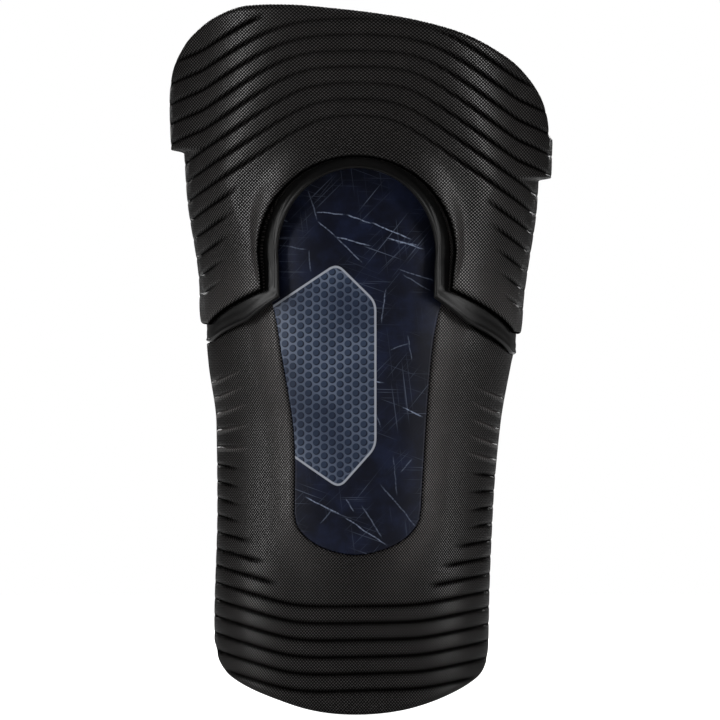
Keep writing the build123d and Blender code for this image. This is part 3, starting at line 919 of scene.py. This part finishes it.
def shin_height(j, x):
    """Height at x of groove j of the lower section; the two sides differ and meet smoothly."""
    left_slope = -0.52 + 0.82 * sigmoid((j - 3.5) * 1.3)
    right_slope = -0.52 + 0.72 * sigmoid((j - 5.0) * 1.1)
    left = 194.7 - 9.9 * j - left_slope * (43.0 - softplus(-x - 38.0, 6.0))
    right = 188.3 - 9.75 * j - right_slope * (39.0 - softplus(x - 38.0, 6.0))
    share = smoothstep(-30, 30, x)
    return left * (1 - share) + right * share


def shin_grooves(s, z):
    x = front_x(SHIN, s, z)
    number, apart = groove_field(shin_height, -2, 20, x, z)
    left, right, _ = envelope(SHIN, z)
    from_edge = np.where(x < 0, left, right) - np.abs(x)
    reach = np.where(number <= 4, 15.5, 12.5 + 6.5 * np.maximum(0, number - 8) ** 1.15)
    short = smoothstep(reach + 3, reach - 8, from_edge)
    share = np.where(number >= 12, 1.0, short)
    share = np.where((number < 0) | (number > 17), 0, share)
    return share, apart, number


def level_between(ends, x):
    """Height at x on the straight line through two ends."""
    (xa, za), (xb, zb) = ends
    return za + (x - xa) * (zb - za) / (xb - xa)


def band_level(x):
    """Height of the lower edge of the plate's band, above which the shell tucks in."""
    left = level_between(PLATE_SLANT_LEFT[::2], x)
    right = level_between(PLATE_SLANT_RIGHT[::2], x)
    return np.where(x < 0, left, right)


def with_ears(grid):
    """Stretches the top of the shell up behind the plate, highest where the ears hold the pivots."""
    s, z = np.abs(grid[..., 0]), grid[..., 1]
    lift = 15.0 + 13.0 * bell(s - PIVOT_ARC, 17.0)
    return np.stack([grid[..., 0], z + lift * smoothstep(204, 246, z)], axis=-1)


LOWER_EDGE = [
    (-83, 38), (-82.4, 34.5), (-80.6, 28.3), (-75, 21.3), (-63, 14.5), (-45.5, 7.8), (-30, 3.2),
    (-15, 0.8), (0, 0.1), (15, 0.8), (30.5, 3), (46.5, 7.4), (62.5, 14.2), (73.3, 21.2), (77, 28),
    (78, 34.5), (78.2, 38),
]


def shin_shell():
    """Moulded foam shell: grooves at the sides and lower end, a bevel round the cap."""
    left, tip, right = (to_domain(SHIN, part) for part in cap_side())
    bottom = to_domain(SHIN, smooth_path(LOWER_EDGE, 200))
    bottom_run = np.vstack([
        [(-HALF, 70.0), (-HALF + 3, 62.5), (-HALF + 10, 56.0), (-SIDE - 14, 48.0), (-SIDE - 2, 42.0)],
        bottom,
        [(SIDE + 2, 42.0), (SIDE + 14, 48.0), (HALF - 10, 56.0), (HALF - 3, 62.5), (HALF, 70.0)],
    ])
    left_edge = [(-HALF, 246.0), (-HALF, 70.0)]
    right_edge = [(HALF, 70.0), (HALF, 246.0)]
    low, high = matched([(left, left_edge, 260), (tip, bottom_run, 250), (right, right_edge, 260)])
    share = spans(low, high, 1.5)
    grid = between(low, high, share)
    from_low = np.linalg.norm(grid - low[:, None, :], axis=2)
    from_high = np.linalg.norm(grid - high[:, None, :], axis=2)
    grid = with_ears(grid)
    s, z = grid[..., 0], grid[..., 1]
    amount, apart, number = shin_grooves(s, z)
    calm = smoothstep(0.5, 5, from_high) * smoothstep(3, 12, from_low)
    raised = number <= 4
    cut = amount * calm * groove_depth(apart) * side_fade(s)
    inner_side = 1 - smoothstep(SIDE - 20, SIDE - 7, np.abs(s))
    bead = amount * calm * inner_side * (1.1 * bell(apart - 0.5, 0.9) - 0.6 * bell(apart + 1.3, 0.9))
    cut = np.where(raised, -bead, cut)
    beside = 0.35 + 0.65 * smoothstep(8, 42, np.abs(s))
    valley = 3.2 * beside * smoothstep(1, 24, from_low) * (1 - 0.85 * smoothstep(26, 75, from_low))
    lip = rounding(from_low, 1.4) + rounding(from_high, 3.4)
    x = front_x(SHIN, s, z)
    above = z - band_level(x)
    tuck = 3.7 * smoothstep(-0.2, 1.8, above) + 3.6 * smoothstep(3, 14, above)
    outer = place(SHIN, s, z, cut + valley + lip + tuck - 0.6 * bell(from_low - 2.5, 4))
    inner_share = np.tile(np.linspace(0, 1, 14), (len(low), 1))
    grid_in = with_ears(between(low, high, inner_share))
    z_in = grid_in[..., 1]
    inner = place(SHIN, grid_in[..., 0], z_in, SHIN_FOAM + 4.5 * smoothstep(205, 216, z_in))
    uv = np.stack([s * MM, z * MM], axis=-1)
    # Painted highlight along the upper raised ridges.
    ridge_painted_highlight = -3.2 * inner_side * bell(apart - 0.3, 1.1)
    # Painted shade in the grooves.
    painted_shade_and_light = amount * calm * np.where(raised, ridge_painted_highlight, bell(apart, 1.6))
    # Painted shade over the wings, keeping the painted ridge highlights.
    painted_shade_and_light = np.maximum(painted_shade_and_light, wing_painted_shade(s)) + np.minimum(painted_shade_and_light, 0)
    # Painted highlight: the mask named stretched lightens the fabric beside the cap.
    stretched = bell(from_low - 5, 15) * smoothstep(6, 40, np.abs(x))
    painted_shade_and_light = painted_shade_and_light - 2.0 * stretched * (1 - np.maximum(painted_shade_and_light, 0))
    return slab("shin_shell_cover", outer, inner, uv, {"painted_shade_and_light": painted_shade_and_light}, lined=True)


PANEL = [(-60, 229.0), (-11.0, 262.0), (11.0, 240.0), (11.0, 156.0), (-9.5, 132.4), (-60, 167.5)]


def rounded(path, radius, steps=6):
    """A closed path with its corners turned by arcs of about this radius."""
    path = np.asarray(path, float)
    result = []
    for before, corner, after in zip(np.roll(path, 1, axis=0), path, np.roll(path, -1, axis=0)):
        a = corner + (before - corner) / np.linalg.norm(before - corner) * radius
        b = corner + (after - corner) / np.linalg.norm(after - corner) * radius
        for t in np.linspace(0, 1, steps):
            result.append((1 - t) ** 2 * a + 2 * t * (1 - t) * corner + t * t * b)
    return np.array(result)


def shin_cap():
    """Hard front cap: rows from the tip up to the top of the dome, each from side to side."""
    left, tip, right = cap_side()
    angle = np.linspace(0, math.pi, 120)
    dome = np.stack([ARCH_X + 50.6 * np.cos(angle), ARCH_Z + 50.6 * np.sin(angle)], axis=1)
    border = np.vstack([left, tip, right, dome])
    lowest = np.argmin(border[:, 1])
    border = np.roll(border, -lowest, axis=0)
    highest = np.argmax(border[:, 1])
    right_side, left_side = border[:highest + 1], border[highest:][::-1]
    turn = (1 - np.cos(np.linspace(0, math.pi, 260))) / 2
    rise = border[highest, 1] - 0.05 - CAP_LOWEST_Z
    z = CAP_LOWEST_Z + rise * (0.25 * turn + 0.75 * np.linspace(0, 1, 260))
    xr = np.interp(z, right_side[:, 1], right_side[:, 0])
    xl = np.interp(z, left_side[:, 1], left_side[:, 0])
    across = np.sin(np.linspace(-1, 1, 110) * math.pi / 2) * 0.3 + np.linspace(-1, 1, 110) * 0.7
    x = (xl + xr)[None, :] / 2 + across[:, None] * (xr - xl)[None, :] / 2
    zz = np.tile(z, (len(across), 1))
    apart = distance_to(border[::3], x, zz, closed=True)
    s = arc_at(DOME, x, zz)
    crown = 0.5 * smoothstep(0, 14, apart) * smoothstep(246, 215, zz)
    outer = place(DOME, s, zz, -CAP_PROUD + rounding(apart, 1.0) - crown)
    inner = place(DOME, s, zz, 1.3)
    panel_path = rounded(PANEL, 5.0)
    panel = distance_to(panel_path, x, zz, closed=True) * np.where(inside(panel_path, x, zz), 1, -1) * MM
    uv = np.stack([x * MM, zz * MM], axis=-1)
    return slab("shin_cap_shell", outer, inner, uv, {"panel": panel})


# ---- small patches, pads and tubes ------------------------------------------------------------------
def rounded_rows(s0, s1, z0, z1, radius, columns):
    """Lower and upper edges of a rectangle with rounded corners."""
    turn = (1 - np.cos(np.linspace(0, math.pi, columns))) / 2
    s = s0 + (s1 - s0) * (0.5 * turn + 0.5 * np.linspace(0, 1, columns))
    near = np.clip(radius - np.minimum(s - s0, s1 - s), 0, radius)
    drop = radius - np.sqrt(np.maximum(radius ** 2 - near ** 2, 0))
    return np.stack([s, z0 + drop], axis=1), np.stack([s, z1 - drop], axis=1)


def edge_distance(grid):
    """Distance of each grid point to the nearest border of its grid."""
    s, z = grid[..., 0], grid[..., 1]
    sides = np.minimum(s - s[:1, :], s[-1:, :] - s)
    ends = np.minimum(z - z[:, :1], z[:, -1:] - z)
    return np.minimum(sides, ends)


def patch(name, table, area, outside, inside_at, radius=4.0, spacing=1.6, round_edge=0.5):
    """A flat piece of tape laid on a section surface, with turned edges."""
    low, high = rounded_rows(*area, radius, int((area[1] - area[0]) / spacing) + 6)
    grid = between(low, high, spans(low, high, spacing, (0.0, 0.3, 0.8)))
    away = edge_distance(grid)
    soft = 0.12 * np.sin(grid[..., 0] * 0.9) * np.sin(grid[..., 1] * 0.7)
    depth = outside + rounding(away, round_edge) + soft * smoothstep(0, 4, away)
    outer = place(table, grid[..., 0], grid[..., 1], depth)
    inner = place(table, grid[..., 0], grid[..., 1], inside_at)
    return slab(name, outer, inner, grid * MM)


def tube(points, radius, sides=8, closed=True):
    """Vertices and faces of a tube round a path."""
    p = np.asarray(points, float)
    tangent = np.roll(p, -1, axis=0) - np.roll(p, 1, axis=0) if closed else np.gradient(p, axis=0)
    tangent /= np.linalg.norm(tangent, axis=1)[:, None]
    helper = np.where(np.abs(tangent[:, 2:]) > 0.9, np.array([[1.0, 0, 0]]), np.array([[0, 0, 1.0]]))
    a = np.cross(tangent, helper)
    a /= np.linalg.norm(a, axis=1)[:, None]
    b = np.cross(tangent, a)
    turn = np.linspace(0, 2 * math.pi, sides, endpoint=False)
    ring = np.cos(turn)[None, :, None] * a[:, None, :] + np.sin(turn)[None, :, None] * b[:, None, :]
    size = np.full(len(p), radius)
    if not closed:
        size[0] = size[-1] = radius * 0.4
    verts = (p[:, None, :] + size[:, None, None] * ring).reshape(-1, 3)
    count = len(p) if closed else len(p) - 1
    faces = []
    for i in range(count):
        for j in range(sides):
            k, m = (i + 1) % len(p), (j + 1) % sides
            faces.append([i * sides + j, k * sides + j, k * sides + m, i * sides + m])
    if not closed:
        faces += [list(range(sides)), list(range((len(p) - 1) * sides, len(p) * sides))]
    return verts, faces


def gather(name, parts):
    """One object from several lists of vertices and faces."""
    verts, faces = [], []
    for more, shapes in parts:
        start = sum(len(v) for v in verts)
        verts.append(np.asarray(more))
        faces.extend([[start + i for i in face] for face in shapes])
    return new_object(name, np.vstack(verts), faces)


def stitches(path, length=2.6, gap=1.0, radius=0.32):
    """Separate thread stitches along a path of points."""
    path = np.asarray(path, float)
    run = distances_along(path)
    starts = np.arange(0.2, run[-1] - length, length + gap)
    threads = [points_at(np.linspace(start, start + length, 5), path, run) for start in starts]
    return [tube(thread, radius, 6, False) for thread in threads]


def lathe(profile, origin, axis, sides=40):
    """Vertices and faces of a turned shape: profile is radius and distance along the axis."""
    axis = Vector(axis).normalized()
    a = axis.orthogonal().normalized()
    b = axis.cross(a)
    verts, faces = [], []
    for radius, along in profile:
        for k in range(sides):
            turn = 2 * math.pi * k / sides
            spot = Vector(origin) + axis * along + (a * math.cos(turn) + b * math.sin(turn)) * radius
            verts.append(tuple(spot))
    for i in range(len(profile) - 1):
        for k in range(sides):
            m = (k + 1) % sides
            faces.append([i * sides + k, i * sides + m, (i + 1) * sides + m, (i + 1) * sides + k])
    faces += [list(range(sides)), list(range((len(profile) - 1) * sides, len(profile) * sides))]
    return np.array(verts), faces


def section_arc(table, points):
    """Arc length on a section of points given in x, y and z."""
    front = np.abs(arc_at(table, points[:, 0], points[:, 2]))
    behind = SIDE + np.maximum(points[:, 1] - WIDEST_Y, 0)
    return np.where(points[:, 0] < 0, -1, 1) * np.where(points[:, 1] < WIDEST_Y, front, behind)


def coordinates(mesh):
    co = np.empty(len(mesh.vertices) * 3, np.float32)
    mesh.vertices.foreach_get("co", co)
    return co.reshape(-1, 3)


def lay_plan(obj):
    """Gives a mesh plan coordinates again after remeshing: round the leg, and up."""
    points = coordinates(obj.data) / MM
    around = 82.0 * np.arctan2(points[:, 0], 18.0 - points[:, 1])
    plan_layer(obj.data, np.stack([around, points[:, 2]], axis=1) * MM)


def apply_modifiers(obj):
    graph = bpy.context.evaluated_depsgraph_get()
    mesh = bpy.data.meshes.new_from_object(obj.evaluated_get(graph))
    obj.modifiers.clear()
    obj.data = mesh


def inflate(obj, held, rise):
    """Remeshes a pad and puffs it with a short cloth simulation. held says which points stay."""
    remesh = obj.modifiers.new("voxels", "REMESH")
    remesh.mode = "VOXEL"
    remesh.voxel_size = 2.6 * MM
    apply_modifiers(obj)
    start = coordinates(obj.data)
    group = obj.vertex_groups.new(name="held")
    group.add([int(i) for i in np.nonzero(held(start / MM))[0]], 1.0, "REPLACE")
    cloth = obj.modifiers.new("cloth", "CLOTH")
    cloth.settings.use_pressure = True
    cloth.settings.uniform_pressure_force = 4
    cloth.settings.vertex_group_mass = "held"
    cloth.settings.effector_weights.gravity = 0
    cloth.settings.quality = 5
    cloth.settings.tension_stiffness = 12
    cloth.point_cache.frame_start, cloth.point_cache.frame_end = 1, 20
    for number in range(1, 21):
        bpy.context.scene.frame_set(number)
    apply_modifiers(obj)
    bpy.context.scene.frame_set(1)
    moved = coordinates(obj.data) - start
    size = np.linalg.norm(moved, axis=1, keepdims=True) + 1e-9
    moved *= np.minimum(1, rise * MM / size)
    obj.data.vertices.foreach_set("co", (start + moved).ravel())
    finer = obj.modifiers.new("finer", "SUBSURF")
    finer.levels = finer.render_levels = 1
    apply_modifiers(obj)
    obj.data.materials.clear()
    obj.data.polygons.foreach_set("use_smooth", np.ones(len(obj.data.polygons), bool))
    return obj


LINER = 8.0                # thickness of a pad
SEWN = 2.6                 # thickness at its border
LINER_GAP = 1.3            # room for the hook tape behind a pad
SEAM_DEPTH = 0.62          # how far a seam pulls the swelling down
SEAM_REACH = 1.6           # half width of the strip that a seam holds down


def seam_distance(s, z, seams):
    """Distance to the nearest quilting seam: ("z", height) runs across, ("s", place) runs up."""
    best = np.full(np.shape(s), 1e3)
    for way, at in seams:
        best = np.minimum(best, np.abs((z if way == "z" else s) - at))
    return best


def pad(name, table, low, high, front, seams):
    """A quilted pad against a section's inside: thin at its border and seams, puffed between."""
    grid = between(low, high, spans(low, high, 2.6, (0.0, 0.6, 1.4, 2.6)))
    s, z = grid[..., 0], grid[..., 1]
    away = edge_distance(grid)
    sewn = seam_distance(s, z, seams)
    full = 1 - (1 - np.clip(away / 9, 0, 1)) ** 2.2
    swell = LINER - SEWN - 0.6
    thick = SEWN + swell * full * (1 - SEAM_DEPTH * bell(sewn, 3.4))
    outer = place(table, s, z, front)
    inner = place(table, s, z, front + thick)
    obj = slab(name, outer, inner, grid * MM)

    def held(points):
        at = section_arc(table, points)
        rest = place(table, at, points[:, 2], front)
        near_front = np.linalg.norm(points - rest, axis=1) < SEAM_REACH
        return near_front | (seam_distance(at, points[:, 2], seams) < SEAM_REACH)

    inflate(obj, held, 1.2)
    lay_plan(obj)
    rim = np.vstack([grid[:, 0], grid[-1, 1:-1], grid[::-1, -1], grid[0, -2:0:-1]])
    rim = resample(np.vstack([rim, rim[:1]]), 260)[:-1]
    piping = [tube(place(table, rim[:, 0], rim[:, 1], front + 1.4), 1.5, 8)]
    for way, at in seams:
        across = s if way == "z" else z
        spread = np.linspace(across.min() + 9, across.max() - 9, 120)
        at_s, at_z = (spread, 0 * spread + at) if way == "z" else (0 * spread + at, spread)
        depth = front + SEWN + swell * (1 - SEAM_DEPTH) + 0.25
        piping += stitches(place(table, at_s, at_z, depth))
    return obj, gather(name + "_binding", piping)


def add_pad(obj, binding, body, node):
    """Puts a pad and its sewn border on the frame."""
    add(obj, "liner_fabric", body, node)
    binding.data.materials.append(MATERIALS["webbing"])
    binding.parent = obj
    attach(binding, body)


def liners():
    """Three quilted pads in the lower shell and three round the thigh opening."""
    reach = HALF - (REAR_Y - 14)
    for name, s0, s1, z0, corner in (
        ("shin_liner_centre", -33.0, 33.0, 17.0, 9.0),
        ("shin_liner_left", -reach, -40.0, 24.0, 12.0),
        ("shin_liner_right", 40.0, reach, 24.0, 12.0),
    ):
        low, high = rounded_rows(s0, s1, z0, 205.0, corner, int((s1 - s0) / 2.6))
        seams = [("z", 64.0), ("z", 111.0), ("z", 158.0)]
        if name != "shin_liner_centre":
            seams.append(("s", (s0 + s1) / 2))
            low[:, 1] += 12 + 34 * smoothstep(55, 135, np.abs(low[:, 0]))
        add_pad(*pad(name + "_pad", SHIN, low, high, SHIN_FOAM + LINER_GAP, seams), "shin_section", name)
    front = KNEE_FOAM + GAP + PLATE + LINER_GAP
    low, high = rounded_rows(-40.0, 40.0, 331.0, 388.0, 9.0, 34)
    high[:, 1] -= 0.0022 * (high[:, 0] + 12) ** 2
    made = pad("knee_liner_centre_pad", KNEE, low, high, front, [("z", 360.0)])
    add_pad(*made, "knee_section", "knee_liner_centre")
    for side, name, top in ((-1, "knee_liner_left", 378.0), (1, "knee_liner_right", 366.0)):
        low, high = rounded_rows(44.0, reach, 284.0, top, 11.0, 34)
        low[:, 1] += 42 * (1 - smoothstep(62, 80, low[:, 0]))
        high[:, 1] -= 44 * smoothstep(60, 138, high[:, 0])
        if side < 0:
            low, high = low[::-1] * (-1, 1), high[::-1] * (-1, 1)
        add_pad(*pad(name + "_pad", KNEE, low, high, front, [("z", 335.0)]), "knee_section", name)


def cup_and_tapes():
    """The foam cup under the dome and the hook tape squares that hold the pads."""
    x = 46.8 * np.sin(np.linspace(-1, 1, 70) * math.pi / 2)
    top = ARCH_Z + 4.0 + np.sqrt(46.9 ** 2 - x ** 2) * 0.95
    base = 215.0 + 7.0 * np.clip((np.abs(x) - 38) / 9, 0, 1) ** 2
    low, high = (np.stack([arc_at(DOME, x, z), z], axis=1) for z in (base, np.minimum(top, 313.0)))
    grid = between(low, high, spans(low, high, 2.0, (0.0, 0.5, 1.2, 2.2)))
    away = edge_distance(grid)
    s, z = grid[..., 0], grid[..., 1]
    outer = place(DOME, s, z, 1.7 + rounding(away, 3.0))
    inner = place(DOME, s, z, 9.4 - rounding(away, 3.5) - 0.5 * bell(away - 10, 3.0))
    cup = slab("knee_cup", outer, inner, grid * MM)
    add(cup, "cup_foam", "shin_section", "knee_cup_foam")

    tabs = [(x - 14, x + 14, z - 12, z + 12) for x in (-34, 34) for z in (40, 110, 180)]
    for k, area in enumerate(tabs):
        tab = patch(f"shin_hook_tab_{k}", SHIN, area, SHIN_FOAM + 0.1, SHIN_FOAM + 1.2, 3.0)
        add(tab, "hook_tape", "shin_section", "shin_hook_tabs")
    inside_plate = KNEE_FOAM + GAP + PLATE
    for k, x in enumerate((-58, 0, 58)):
        area = (x - 14, x + 14, 342, 366)
        tab = patch(f"knee_hook_tab_{k}", KNEE, area, inside_plate + 0.1, inside_plate + 1.2, 3.0)
        add(tab, "hook_tape", "knee_section", "knee_hook_tabs")


# ---- straps -------------------------------------------------------------------------------------------
STRAP_HEIGHTS = {"lower": 66.0, "upper": 146.0}
STRAP_HINGE_X = {"lower": -71.01, "upper": -69.97}
STRAP_HINGE_Y = 36.5
STRAP_WIDTH = 38.0
STRAP_T = 1.5
STRAP_LIFT = 1.95          # centre of the fastened strap above the right wing
STRAP_STEPS = 400          # points along a strap's centre line
HOOK_SPAN = (0.905, 0.995)         # the hook tape's ends, as shares of the strap's length
PULL_SPAN = (0.945, 0.998)         # the pull tab's ends
ANCHOR_Y = 22.0
ANCHOR_RIVET_STEP = 11.0           # each anchor rivet's distance above or below its strap's middle


def on_wing(side, y, z, lift):
    """A point beside a side wing of the lower shell."""
    return place(SHIN, np.array(side * (SIDE + y - WIDEST_Y)), np.array(float(z)), -lift)


def strap_points(height, z, count):
    """Centre line of a strap at z: sewn on the left wing, round the back, fastened on the right."""
    sewn = [on_wing(-1, y, z, 0.9) for y in (12.5, 17, 22, 27, 31, 34)]
    turn = (STRAP_HINGE_X[height_name(height)] - 0.2, STRAP_HINGE_Y + 0.3, z)
    behind = [(-62, 48.5, z), (-36, 62, z), (0, 66, z), (36, 62, z), (60, 49, z)]
    fastened = [on_wing(1, y, z, STRAP_LIFT) for y in (34, 28, 22, 16, 13)]
    return smooth_path([*sewn, turn, *behind, *fastened], count)


def height_name(height):
    """Which strap lies at this height."""
    return {value: key for key, value in STRAP_HEIGHTS.items()}[height]


def ribbon(name, height, width, start, end, inside_at, outside_at, across=15, shape=None):
    """A strip along a strap between two shares of its length, at distances from its centre line."""
    first, last = int(start * (STRAP_STEPS - 1)), int(end * (STRAP_STEPS - 1)) + 1
    rise = np.linspace(-width / 2, width / 2, across)
    edge = np.minimum(rise + width / 2, width / 2 - rise)
    outer, inner, plan = [], [], []
    for step, near in zip(rise, edge):
        line = strap_points(height, height + step, STRAP_STEPS)
        run = np.linspace(0, distances_along(line)[-1], STRAP_STEPS)
        tangent = np.gradient(line, axis=0)
        aside = np.stack([-tangent[:, 1], tangent[:, 0], 0 * tangent[:, 0]], axis=1)
        aside /= np.linalg.norm(aside, axis=1)[:, None]
        thin = 0.35 * float(rounding(near, 1.0))
        extra = 0 * run if shape is None else shape(run)
        outer.append((line + aside * (outside_at - thin + extra)[:, None])[first:last])
        inner.append((line + aside * (inside_at + thin))[first:last])
        plan.append(np.stack([run, 0 * run + step], axis=1)[first:last])
    stacked = [np.swapaxes(np.array(grid), 0, 1) for grid in (outer, inner, plan)]
    return slab(name, stacked[0], stacked[1], stacked[2] * MM)


def sewn_line(side, corners, lift, steps, radius):
    """Stitches on a side wing along a line through corners given as y and z."""
    path = []
    for start, end in zip(corners, corners[1:]):
        path += [on_wing(side, *spot, lift) for spot in np.linspace(start, end, steps)]
    return stitches(path, 2.2, 0.9, radius)


def box_stitch(side, y0, y1, z0, z1, lift):
    """A sewn square with a cross in it on a side wing."""
    corners = [(y0, z0), (y1, z0), (y1, z1), (y0, z1), (y0, z0), (y1, z1), (y1, z0), (y0, z1)]
    return sewn_line(side, corners, lift, 14, 0.28)


def rivet_profile(radius, height, hole):
    """A domed tubular head, from its underside round to the bottom of its hole."""
    turn = np.linspace(0, math.pi / 2, 9)
    dome = [(radius - height + height * math.cos(a), height * math.sin(a)) for a in turn]
    lip = [(hole + 0.5, height), (hole + 0.15, height * 0.95), (hole, height * 0.75), (hole * 0.9, -0.2)]
    return [(radius * 0.6, 0.0), (radius - 0.1, 0.0), *dome, *lip]


def wing_direction(side, y):
    """Straight out from a side wing."""
    slope = 2 * TOE_IN * (y - WIDEST_Y) / (REAR_Y - WIDEST_Y) ** 2
    return Vector((side, slope, 0)).normalized()


def anchor_rivet(z):
    """A rivet through an anchor and the left wing: outer head, inner head and shank."""
    out = wing_direction(-1, ANCHOR_Y)
    outside_at = on_wing(-1, ANCHOR_Y, z, 1.68)
    inside_at = on_wing(-1, ANCHOR_Y, z, 0.0) - np.array(out) * (SHIN_FOAM + 0.2)
    shank = [(1.5, 0.0), (1.5, SHIN_FOAM + 2.0)]
    return [
        lathe(rivet_profile(4.2, 0.9, 1.1), outside_at, out),
        lathe(rivet_profile(3.6, 0.7, 1.0), inside_at, -out),
        lathe(shank, inside_at, out, 24),
    ]


def grip_ribs(run):
    """Ribs across a pull tab, 3 mm apart."""
    return 0.28 * (0.5 + 0.5 * np.sin(run * 2.1))


def straps():
    """Two elastic straps with their tapes, grips, patches, stitching and anchor rivets."""
    rivets = []
    for name, height in STRAP_HEIGHTS.items():
        body = f"strap_{name}"
        strap = ribbon(f"{body}_web", height, STRAP_WIDTH, 0.0, 1.0, -STRAP_T / 2, STRAP_T / 2, 29)
        strap.data.materials.append(MATERIALS["elastic"])
        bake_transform(strap)
        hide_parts(f"strap_anchor_{name}", f"strap_elastic_{name}")
        tape = ribbon(f"{body}_hook_tape", height, STRAP_WIDTH - 6, *HOOK_SPAN, -1.25, -0.85, 13)
        add(tape, "hook_tape", body, f"strap_hook_{name}")
        grip = ribbon(f"{body}_pull_tab", height, STRAP_WIDTH - 12, *PULL_SPAN, 0.78, 1.15, 13, grip_ribs)
        add(grip, "pull_rubber", body, f"strap_pull_{name}")
        area = (SIDE + 25, SIDE + 46, height - 21, height + 21)
        loops = patch(f"loop_patch_{name}_tape", SHIN, area, -0.62, -0.02, 3.0)
        add(loops, "loop_tape", "shin_section", f"loop_patch_{name}")
        low, high = height - 19.4, height + 19.4
        border = [(12.6, low), (30.6, low), (30.6, high), (12.6, high), (12.6, low)]
        threads = sewn_line(1, border, 0.66, 16, 0.26)
        threads += box_stitch(-1, 14.0, 31.0, height - 16.5, height - 3.0, 1.72)
        threads += box_stitch(-1, 14.0, 31.0, height + 3.0, height + 16.5, 1.72)
        add(gather(f"{name}_stitching", threads), "webbing", "shin_section")
        for step in (-ANCHOR_RIVET_STEP, ANCHOR_RIVET_STEP):
            rivets += anchor_rivet(height + step)
    add(gather("anchor_rivet_set", rivets), "rivet_metal", "shin_section", "anchor_rivets")


WASHER_T = 1.6
WASHER = [
    (3.2, 0.0), (8.4, 0.0), (8.9, 0.25), (9.0, 0.6), (9.0, 1.0), (8.9, 1.35), (8.4, WASHER_T),
    (3.2, WASHER_T), (3.2, 0.0),
]


def pivots():
    """The knee hinge on each side: a rivet that turns with the plate, and a washer on the ear."""
    for side, name in ((-1, "left"), (1, "right")):
        at = place(KNEE, np.array(side * PIVOT_ARC), np.array(HINGE_Z), plate_offset(HINGE_Z))
        plate_face = abs(at[0])
        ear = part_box(f"pivot_washer_{name}")
        ear_x = max(abs(ear[0][0]), abs(ear[1][0])) / MM
        out = Vector((side, 0, 0))

        def on_axis(x):
            return (side * x, HINGE_Y, HINGE_Z)

        shank = [(2.7, 0), (3.0, 0.3), (3.0, plate_face - ear_x + 3.9)]
        head = lathe(rivet_profile(7.0, 1.5, 2.2), on_axis(plate_face - 0.1), out)
        shaft = lathe(shank, on_axis(ear_x - 4.0), out)
        tail = lathe(rivet_profile(5.0, 1.0, 1.6), on_axis(ear_x - 2.6), -out)
        pivot = gather(f"pivot_{name}", [head, shaft, tail])
        add(pivot, "rivet_metal", "knee_section", f"pivot_rivet_{name}")
        verts, faces = lathe(WASHER, on_axis(ear_x - WASHER_T), out)
        washer = gather(f"washer_{name}", [(verts, faces[:-2])])
        add(washer, "washer_plastic", "shin_section", f"pivot_washer_{name}")


add(knee_shell(), "moulded_fabric", "knee_section", "knee_shell", lining="cup_foam")
add(knee_plate(), "rim_plastic", "knee_section", "knee_plate")
add(shin_shell(), "moulded_fabric", "shin_section", "shin_shell", lining="cup_foam")
add(shin_cap(), "navy_cap", "shin_section", "shin_cap")
liners()
cup_and_tapes()
straps()
pivots()


# ---- studio ---------------------------------------------------------------------------------------
def shown_white(tree, shader_strength, unseen):
    """Drives a strength so that the camera sees white and everything else far less light."""
    seen = tree.nodes.new("ShaderNodeLightPath")
    strength = tree.nodes.new("ShaderNodeMapRange")
    strength.inputs["To Min"].default_value = unseen
    strength.inputs["To Max"].default_value = 1.0
    tree.links.new(seen.outputs["Is Camera Ray"], strength.inputs["Value"])
    tree.links.new(strength.outputs[0], shader_strength)


def softbox(name, azimuth, height, distance, size, power):
    """A rectangular light aimed at the middle of the part; azimuth 0 is straight in front."""
    middle = Vector((0, -0.03, 0.2))
    turn = math.radians(azimuth)
    at = Vector((distance * math.sin(turn), -distance * math.cos(turn), height))
    light = bpy.data.lights.new(name, "AREA")
    light.shape = "RECTANGLE"
    light.size, light.size_y = size
    light.energy = power
    obj = bpy.data.objects.new(name, light)
    bpy.context.scene.collection.objects.link(obj)
    obj.location = at
    obj.rotation_euler = (middle - at).to_track_quat("-Z", "Y").to_euler()


def studio():
    """A white floor and background, four softboxes and the camera in front."""
    scene = bpy.context.scene
    scene.view_settings.view_transform = "Standard"
    corners = [(-3000, -3000, -1), (3000, -3000, -1), (3000, 3000, -1), (-3000, 3000, -1)]
    floor = new_object("floor", corners, [(0, 1, 2, 3)])
    n = Nodes("studio_floor")
    pale = n.finish(Base_Color=(0.6, 0.6, 0.6), Roughness=0.9, Emission_Color=(1, 1, 1))
    floor.data.materials.append(pale)
    shown_white(n.tree, n.shader.inputs["Emission Strength"], 0.02)
    world = bpy.data.worlds.new("studio")
    scene.world = world
    world.use_nodes = True
    background = world.node_tree.nodes["Background"]
    background.inputs["Color"].default_value = (1, 1, 1, 1)
    shown_white(world.node_tree, background.inputs["Strength"], 0.035)
    softbox("left_softbox", -62, 0.25, 1.7, (0.45, 1.3), 15)
    softbox("right_softbox", 62, 0.25, 1.7, (0.45, 1.3), 13)
    softbox("top_softbox", 0, 1.9, 0.7, (1.6, 0.7), 3)
    softbox("back_softbox", 180, 1.0, 1.8, (1.6, 1.2), 45)

    camera = bpy.data.cameras.new("camera")
    camera.sensor_width = 36
    distance, seen_width = 6.0, 0.4198
    camera.lens = camera.sensor_width * distance / seen_width
    camera.clip_end = 50
    obj = bpy.data.objects.new("camera", camera)
    scene.collection.objects.link(obj)
    middle_x, face_y, middle_z = 0.0023, -0.05, 0.2064
    obj.location = (middle_x, face_y - distance, middle_z)
    obj.rotation_euler = (math.pi / 2, 0, 0)
    scene.camera = obj


studio()
